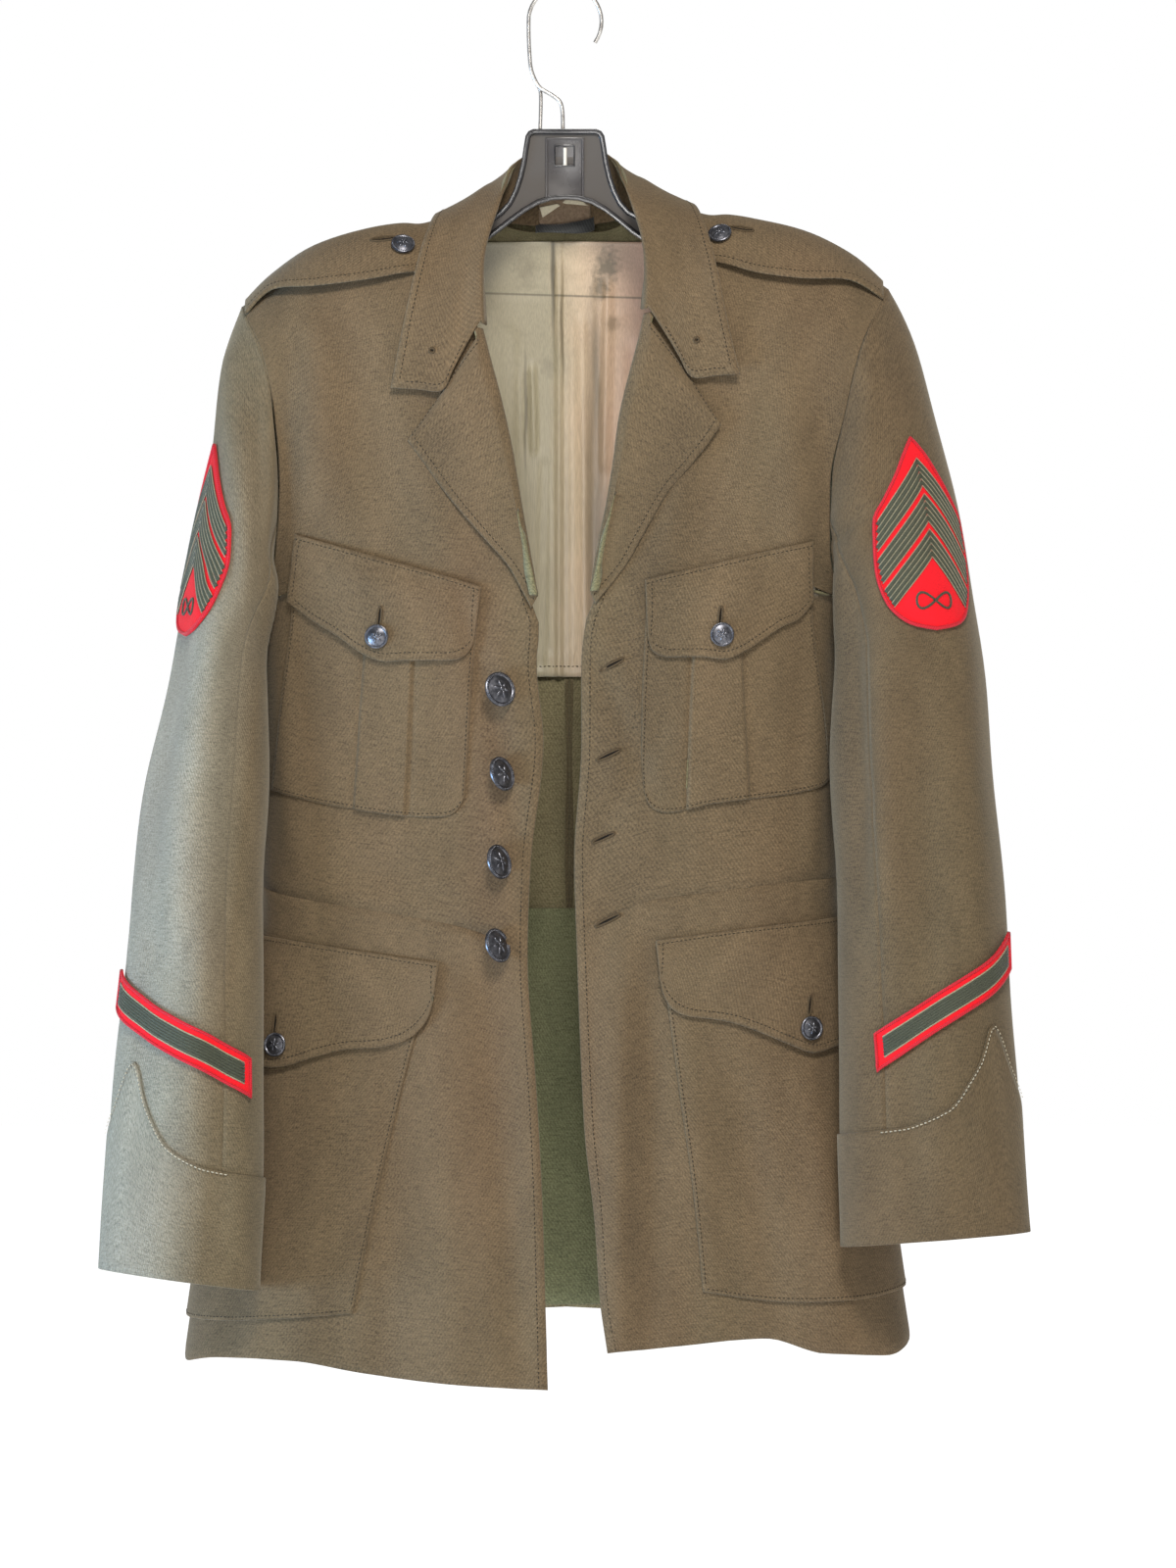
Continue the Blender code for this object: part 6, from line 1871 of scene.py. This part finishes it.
inside = {
    "rows": (
        # height, half width
        (-174, 62), (-186, 84), (-200, 104), (-218, 122), (-245, 134), (-285, 140), (-340, 140),
        (-410, 140), (-478, 140),
    ),
    "depth": 4.2,              # from the back's outer surface to the lining's
    "pleat": (-7, -1.5),       # the centre pleat lies between these
    "creases": (
        # from x, z, to x, z, width, rise
        (25, -200, 22, -345, 3.0, -2.0), (29, -205, 27, -330, 4.0, 1.7),
        (-23, -262, -22, -320, 2.4, 1.6), (-27, -270, -26, -318, 2.6, -1.3),
        (12, -230, 14, -470, 4.0, 1.1), (-40, -240, -44, -470, 6.0, -1.3),
        (48, -250, 56, -470, 7.0, 1.4), (-14, -330, -17, -470, 3.6, -1.2),
        (38, -330, 32, -470, 4.5, -1.3), (-60, -230, -70, -470, 8.0, 1.2),
        (70, -230, 84, -470, 9.0, -1.2), (4, -222, 5, -470, 1.8, -1.0),
        (-34, -180, 10, -196, 4.0, 0.9), (20, -230, 40, -226, 3.0, 0.7),
    ),
    "seam": -212, "band": -462,
}


def liningSpot(across, height):
    spot = bodyPoint(right, wayOf(right, across, height, True), height, -inside["depth"])
    first, second = inside["pleat"]
    fold = ease((across - first) / 1.2) * ease((second - across) / 1.2)
    x, z = np.array(across), np.array(height)
    lift = float(creaseLift(np.stack([x, x * 0, z]), inside["creases"]))
    lift += 1.5 * float(fold) - 0.9 * math.exp(-((across - first + 1.0) / 0.9) ** 2)
    lift -= 0.9 * math.exp(-((across - second - 1.0) / 0.9) ** 2)
    lift -= 0.8 * math.exp(-((height - inside["seam"] + 0.05 * across) / 1.0) ** 2)
    lift += 0.9 * float(ease((inside["band"] - height) / 1.2))
    away = bodyNormal(spot)
    return np.array(spot) - np.array(away) * max(-0.4, min(2.6, lift)) * (0.25
            + 0.75 * float(ease((-180 - height) / 30)))


def makeInside():
    rows = []
    heights = [mix(inside["rows"][0][0], inside["rows"][-1][0], r) for r in shares(84)]
    centre = [(u - 0.5) * 2 for u in shares(96)]
    for height in heights:
        half = read(inside["rows"], height, 1)
        rows.append([liningSpot(half * (0.55 * u + 0.45 * u ** 3), height) for u in centre])
    lining = clothPiece("back_lining", rows, liningSatin, 1.0)
    keep(lining, ["back_lining"])
    edge = insetLine("back_lining", "bottom", 7.0)
    stitchMesh("lining_stitching", [edge], seamThread)
    # the centre-back seam's two allowances, pressed open
    for side in (left, right):
        strip = []
        for r in shares(60):
            height = mix(-480, -655 if side == left else -905, r)
            line = []
            for u in shares(4):
                across = 3.0 + side * mix(0.3, 2.2 + 0.5 * math.sin(0.05 * height), u)
                line.append(bodyPoint(right, wayOf(right, across, height, True), height,
                                      -3.1 - 0.5 * u + 0.25 * math.sin(0.11 * height + 2 * u)))
            strip.append(line)
        piece = clothPiece("seam_allowance_" + sideName(side), strip, insideWool, 0.8)
        keep(piece, [])
    makeLabel()


def makeLabel():
    bits = {
        # four corners of each bit: upper left, upper right, lower right, lower left
        "left": ((-17.6, -151.8), (-5.1, -149.1), (-3.7, -150.4), (-15.5, -158.4)),
        "right": ((4.4, -142.4), (16.4, -150.3), (0.2, -149.0), (-1.5, -148.2)),
    }
    for word, (a, b, c, d) in bits.items():
        grid = []
        for v in shares(8):
            line = []
            for u in shares(16):
                x = mix(mix(a[0], b[0], u), mix(d[0], c[0], u), v)
                z = mix(mix(a[1], b[1], u), mix(d[1], c[1], u), v)
                line.append((x, 28.4 + 0.3 * math.sin(0.9 * x) - 0.2 * v, z))
            grid.append(line)
        piece = clothPiece("label_" + word, grid, labelCloth, 0.5)
        keep(piece, ["label"] if word == "left" else [])
    backing = [[(mix(-18, 17.5, u), 29.4, mix(-141.5, -163, v)) for u in shares(20)] for v in shares(12)]
    backing = clothPiece("label_backing", backing, foldTwill, 0.5)
    keep(backing, [])
    tape = []
    for k in shares(44):
        turn = math.radians(mix(-88, 88, k))
        middle = np.array((20.5 * math.sin(turn), 30.2 - 5 * math.cos(turn),
                           -164.8 - 2.6 * math.cos(turn) + 2.6 * k))
        twist = 0.5 * math.sin(5.0 * k)
        line = []
        for v in shares(6):
            rise = 9.0 * (0.5 - v)
            out = rise * math.sin(0.45 + twist) * 0.7 - 0.5 * math.cos(math.pi * (v - 0.5))
            line.append(tuple(middle + np.array((0, out, rise * math.cos(0.45 + twist)))))
        tape.append(line)
    loop = clothPiece("hanging_loop", np.swapaxes(np.array(tape), 0, 1), darkTape, 0.9)
    keep(loop, ["hanging_loop"])
    print("inside made")


# The hanger: a moulded plate with a raised rim, a middle panel with a slot, and a bent wire hook

hanger = {
    "thickness": 9.0, "top": -98.6, "rim": 3.1, "recess": 2.7,
    "neck": ((22, -98.6), (25.4, -100.2), (27.4, -103.4), (28.8, -112), (30.2, -122), (32.6, -132),
             (35.6, -141), (39.6, -149), (45, -155)),
    "lower": ((211, -222), (206, -232), (180, -222), (140, -207), (100, -196), (70, -186), (58, -179),
              (46, -171), (36, -162.5), (27, -155.5), (18, -150.5), (9, -148), (0, -147.4), (-9, -148),
              (-18, -150.8), (-27, -156), (-36, -162.5), (-47, -171), (-58, -179), (-70, -186),
              (-100, -201), (-140, -214), (-180, -231), (-206, -242), (-213, -232)),
    "panel": (-13.6, 13.4, -104.4, -147.0),     # left, right, top, bottom
    "slot": (-7.6, 7.0, -109.6, -124.6),
    "bar": (-1.1, 1.3, -111.6, -124.4),
    "wire": 1.4, "hookInside": 24.0,
}


def hangerRidge(across):
    return ridge(across) - coat["wall"] - 2.3


def hangerOutline():
    neck = list(hanger["neck"])
    upper = neck + [(60, -163), (75, -168), (88, hangerRidge(88) - 2)]
    upper += [(across, hangerRidge(across)) for across in (104, 125, 145, 170, 190, 203)]
    back = [(across, hangerRidge(across)) for across in (-203, -190, -170, -145, -125, -104)]
    back += [(-88, hangerRidge(-88) - 2), (-75, -172), (-60, -166)]
    return upper + list(hanger["lower"]) + back + [(-x, z) for x, z in reversed(neck)]


def pickFaces(piece, test):
    bpy.ops.mesh.select_all(action="DESELECT")
    bpy.ops.object.mode_set(mode="OBJECT")
    for face in piece.data.polygons:
        face.select = test(face)
    bpy.ops.object.mode_set(mode="EDIT")


def finishHard(piece, material, nodes=(), angle=35):
    bpy.ops.object.mode_set(mode="OBJECT")
    clearSelection()
    piece.select_set(True)
    bpy.context.view_layer.objects.active = piece
    bpy.ops.object.transform_apply(location=True, rotation=True, scale=True)
    bpy.ops.object.shade_smooth_by_angle(angle=math.radians(angle))
    piece.data.materials.clear()
    piece.data.materials.append(material)
    return keep(piece, list(nodes))


def bevelled(piece, width, segments=3):
    bpy.ops.object.mode_set(mode="OBJECT")
    modifier = piece.modifiers.new("edge", "BEVEL")
    modifier.width, modifier.segments, modifier.limit_method = width * mm, segments, "ANGLE"
    modifier.angle_limit = math.radians(40)
    modifier.harden_normals = False
    bpy.context.view_layer.objects.active = piece
    bpy.ops.object.modifier_apply(modifier="edge")


def hangerPlate():   # a disc whose rim is drawn out to the outline, given its thickness and its two recesses
    outline = hangerOutline()
    clearSelection()
    bpy.ops.mesh.primitive_circle_add(vertices=len(outline), radius=0.1, fill_type="NGON",
                                      rotation=(math.pi / 2, 0, 0))
    piece = activeMesh()
    bpy.ops.object.transform_apply(location=True, rotation=True, scale=True)
    for vertex, (x, z) in zip(piece.data.vertices, outline):
        vertex.co = (x * mm, -hanger["thickness"] / 2 * mm, z * mm)
    bpy.ops.object.mode_set(mode="EDIT")
    bpy.ops.mesh.select_all(action="SELECT")
    bpy.ops.mesh.extrude_region_move(TRANSFORM_OT_translate={"value": (0, hanger["thickness"] * mm, 0)})
    bpy.ops.mesh.select_all(action="SELECT")
    bpy.ops.mesh.normals_make_consistent(inside=False)
    for way in (-1, 1):
        pickFaces(piece, lambda face: face.normal.y * way > 0.9)
        bpy.ops.mesh.inset(thickness=hanger["rim"] * mm, use_even_offset=True)
        bpy.ops.mesh.inset(thickness=0.5 * mm, depth=-hanger["recess"] * mm, use_even_offset=True)
        pickFaces(piece, lambda face: face.normal.y * way > 0.9 and len(face.vertices) == len(outline))
        bpy.ops.mesh.inset(thickness=0.3 * mm, use_even_offset=True)
    bpy.ops.object.mode_set(mode="OBJECT")
    bevelled(piece, 1.3, 3)
    piece.name = "hanger_plate"
    finishHard(piece, blackPlastic, ["hanger_body"])
    piece.data.materials.append(webPlastic)
    depth = hanger["thickness"] / 2 - hanger["recess"]
    for face in piece.data.polygons:
        if abs(face.normal.y) > 0.95 and abs(abs(face.center.y) - depth * mm) < 0.1 * mm:
            face.material_index = 1
    return piece


def blockAt(name, x0, x1, z1, z0, y0, y1):
    clearSelection()
    bpy.ops.mesh.primitive_cube_add(size=1, location=((x0 + x1) / 2 * mm, (y0 + y1) / 2 * mm,
                                                      (z0 + z1) / 2 * mm))
    piece = activeMesh()
    piece.name = name
    bpy.ops.transform.resize(value=((x1 - x0) * mm, (y1 - y0) * mm, (z1 - z0) * mm))
    bpy.ops.object.transform_apply(location=True, rotation=True, scale=True)
    return piece


def makeHanger():
    hangerPlate()
    x0, x1, top, bottom = hanger["panel"]
    s0, s1, slotTop, slotBottom = hanger["slot"]
    front, face = -hanger["thickness"] / 2, hanger["thickness"] / 2 - hanger["recess"]
    panel = blockAt("hanger_panel", x0, x1, top, bottom, -face - 1.3, face + 1.3)
    bpy.ops.object.mode_set(mode="EDIT")
    pickFaces(panel, lambda face: face.normal.y < -0.9)
    bpy.ops.mesh.inset(thickness=1.4 * mm)
    bpy.ops.mesh.inset(thickness=0.4 * mm, depth=-0.5 * mm)
    bevelled(panel, 0.5, 2)
    finishHard(panel, panelPlastic)
    frameBlock = blockAt("hanger_slot_frame", s0, s1, slotTop, slotBottom, front + 0.4, -face - 0.4)
    bpy.ops.object.mode_set(mode="EDIT")
    pickFaces(frameBlock, lambda face: face.normal.y < -0.9)
    bpy.ops.mesh.inset(thickness=0.75 * mm)
    bpy.ops.mesh.inset(thickness=0.3 * mm, depth=-1.7 * mm)
    bevelled(frameBlock, 0.28, 2)
    finishHard(frameBlock, blackPlastic)
    # the slot shows the coat's colour behind in its lower part
    window = blockAt("hanger_slot_window", s0 + 1.2, s1 - 1.2, mix(slotTop, slotBottom, 0.56),
                     slotBottom + 1.2, front + 1.7, front + 2.1)
    bevelled(window, 0.12, 2)
    finishHard(window, webPlastic)
    b0, b1, barTop, barBottom = hanger["bar"]
    bar = blockAt("hanger_slot_bar", b0, b1, barTop, barBottom, front + 0.7, front + 2.2)
    bevelled(bar, 0.6, 3)
    finishHard(bar, paleBar)
    makeHook()
    print("hanger made")


def wireMesh(name, places, radius, nodes, material):
    curve = bpy.data.curves.new(name, "CURVE")
    curve.dimensions, curve.bevel_depth, curve.bevel_resolution = "3D", radius * mm, 5
    curve.use_fill_caps = True
    line = curve.splines.new("POLY")
    line.points.add(len(places) - 1)
    for point, place in zip(line.points, places):
        point.co = (*(v * mm for v in place), 1)
    drawn = bpy.data.objects.new(name, curve)
    bpy.context.scene.collection.objects.link(drawn)
    clearSelection()
    drawn.select_set(True)
    bpy.context.view_layer.objects.active = drawn
    bpy.ops.object.convert(target="MESH")
    piece = activeMesh()
    bpy.ops.object.mode_set(mode="EDIT")
    bpy.ops.mesh.select_all(action="SELECT")
    bpy.ops.mesh.remove_doubles(threshold=0.00001)
    bpy.ops.mesh.normals_make_consistent(inside=False)
    return finishHard(piece, material, nodes, 50)


def makeHook():
    reach = hanger["hookInside"] + hanger["wire"]
    arc = [(reach * math.cos(math.radians(d)), 0, reach * math.sin(math.radians(d)) - hanger["hookInside"])
           for d in range(-35, 181, 9)]
    stem = [(-25.2, 0, -32), (-24.6, 0, -46), (-23.2, 0, -58), (-18, 0, -69), (-9, 0, -75), (-3.6, 0, -79.4),
            (-1.8, 0, -86), (-1.4, 0, hanger["top"] + 0.3)]
    smooth = arc + [tuple(curveAt([arc[-1]] + stem, k / 56)) for k in range(1, 57)]
    wireMesh("hanger_wire_hook", smooth, hanger["wire"], ["hanger_hook"], hookSteel)
    tail = [(-19.4, 1.6, -67.4), (-17.6, 3.0, -70.4), (-16.8, 3.1, -75), (-16.8, 2.4, -84),
            (-17.2, 0.8, hanger["top"] + 0.3)]
    wireMesh("hanger_wire_tail", [tuple(curveAt(tail, k / 32)) for k in range(33)], hanger["wire"] * 0.92,
             ["hanger_hook_tail"], hookSteel)


# The coat, in the order in which it would be dressed

makeBody()
makeLapels()
makeCollar()
makeSleeves()
makeCuffs()
makeStraps()
makePockets()
makeRankPatches()
makeStripes()
makeInside()
makeStitches()
makeButtonholes()
makeButtons()
makeHanger()


# Floor, light and camera

studio = {
    "floor": -1.32, "world": 0.34,
    "lights": {
        # place, power, size, colour
        "key": ((0.25, -2.5, 1.5), 108.0, 0.8, (1.0, 0.96, 0.92)),
        "front": ((-0.5, -6.5, -0.3), 65.0, 1.0, (1.0, 0.98, 0.96)),
        "window": ((-1.9, -0.85, -1.2), 80.0, 0.9, (0.40, 0.66, 1.0)),
    },
    "cameraPlace": (0.016, -9.0, -0.553), "lens": 198.5,
}


def addLight(name, values):
    place, power, size, colour = values
    lamp = bpy.data.lights.new(name, "AREA")
    lamp.energy, lamp.size, lamp.color = power, size, colour
    holder = bpy.data.objects.new(name, lamp)
    holder.location = place
    holder.rotation_euler = (Vector((0, 0, -0.55)) - Vector(place)).to_track_quat("-Z", "Y").to_euler()
    bpy.context.scene.collection.objects.link(holder)


clearSelection()
bpy.ops.mesh.primitive_plane_add(size=1, location=(0, 0, studio["floor"]))
floor = activeMesh()
floor.name = "floor"
bpy.ops.transform.resize(value=(40, 40, 1))
bpy.ops.object.transform_apply(location=True, rotation=True, scale=True)
bpy.ops.object.mode_set(mode="EDIT")
bpy.ops.mesh.subdivide(number_cuts=3)
bpy.ops.object.mode_set(mode="OBJECT")
floor.data.materials.append(floorMaterial())

# the backdrop is white, and lights the coat less than it shows
world = bpy.data.worlds.new("studio")
world.use_nodes = True
nodes, links = world.node_tree.nodes, world.node_tree.links
soft, white = nodes["Background"], nodes.new("ShaderNodeBackground")
soft.inputs["Color"].default_value = white.inputs["Color"].default_value = (1, 1, 1, 1)
soft.inputs["Strength"].default_value = studio["world"]
seen, both = nodes.new("ShaderNodeLightPath"), nodes.new("ShaderNodeMixShader")
links.new(seen.outputs["Is Camera Ray"], both.inputs["Fac"])
links.new(soft.outputs[0], both.inputs[1])
links.new(white.outputs[0], both.inputs[2])
links.new(both.outputs[0], nodes["World Output"].inputs["Surface"])
bpy.context.scene.world = world
for lampName, lampValues in studio["lights"].items():
    addLight(lampName, lampValues)

camera = bpy.data.objects.new("camera", bpy.data.cameras.new("camera"))
camera.location = studio["cameraPlace"]
camera.rotation_euler = (math.pi / 2, 0, 0)
camera.data.lens = studio["lens"]
camera.data.sensor_fit = "VERTICAL"
camera.data.sensor_height = 24
camera.data.clip_end = 60
bpy.context.scene.collection.objects.link(camera)
bpy.context.scene.camera = camera
bpy.context.scene.view_settings.view_transform = "Standard"
print("stage, light and camera made")
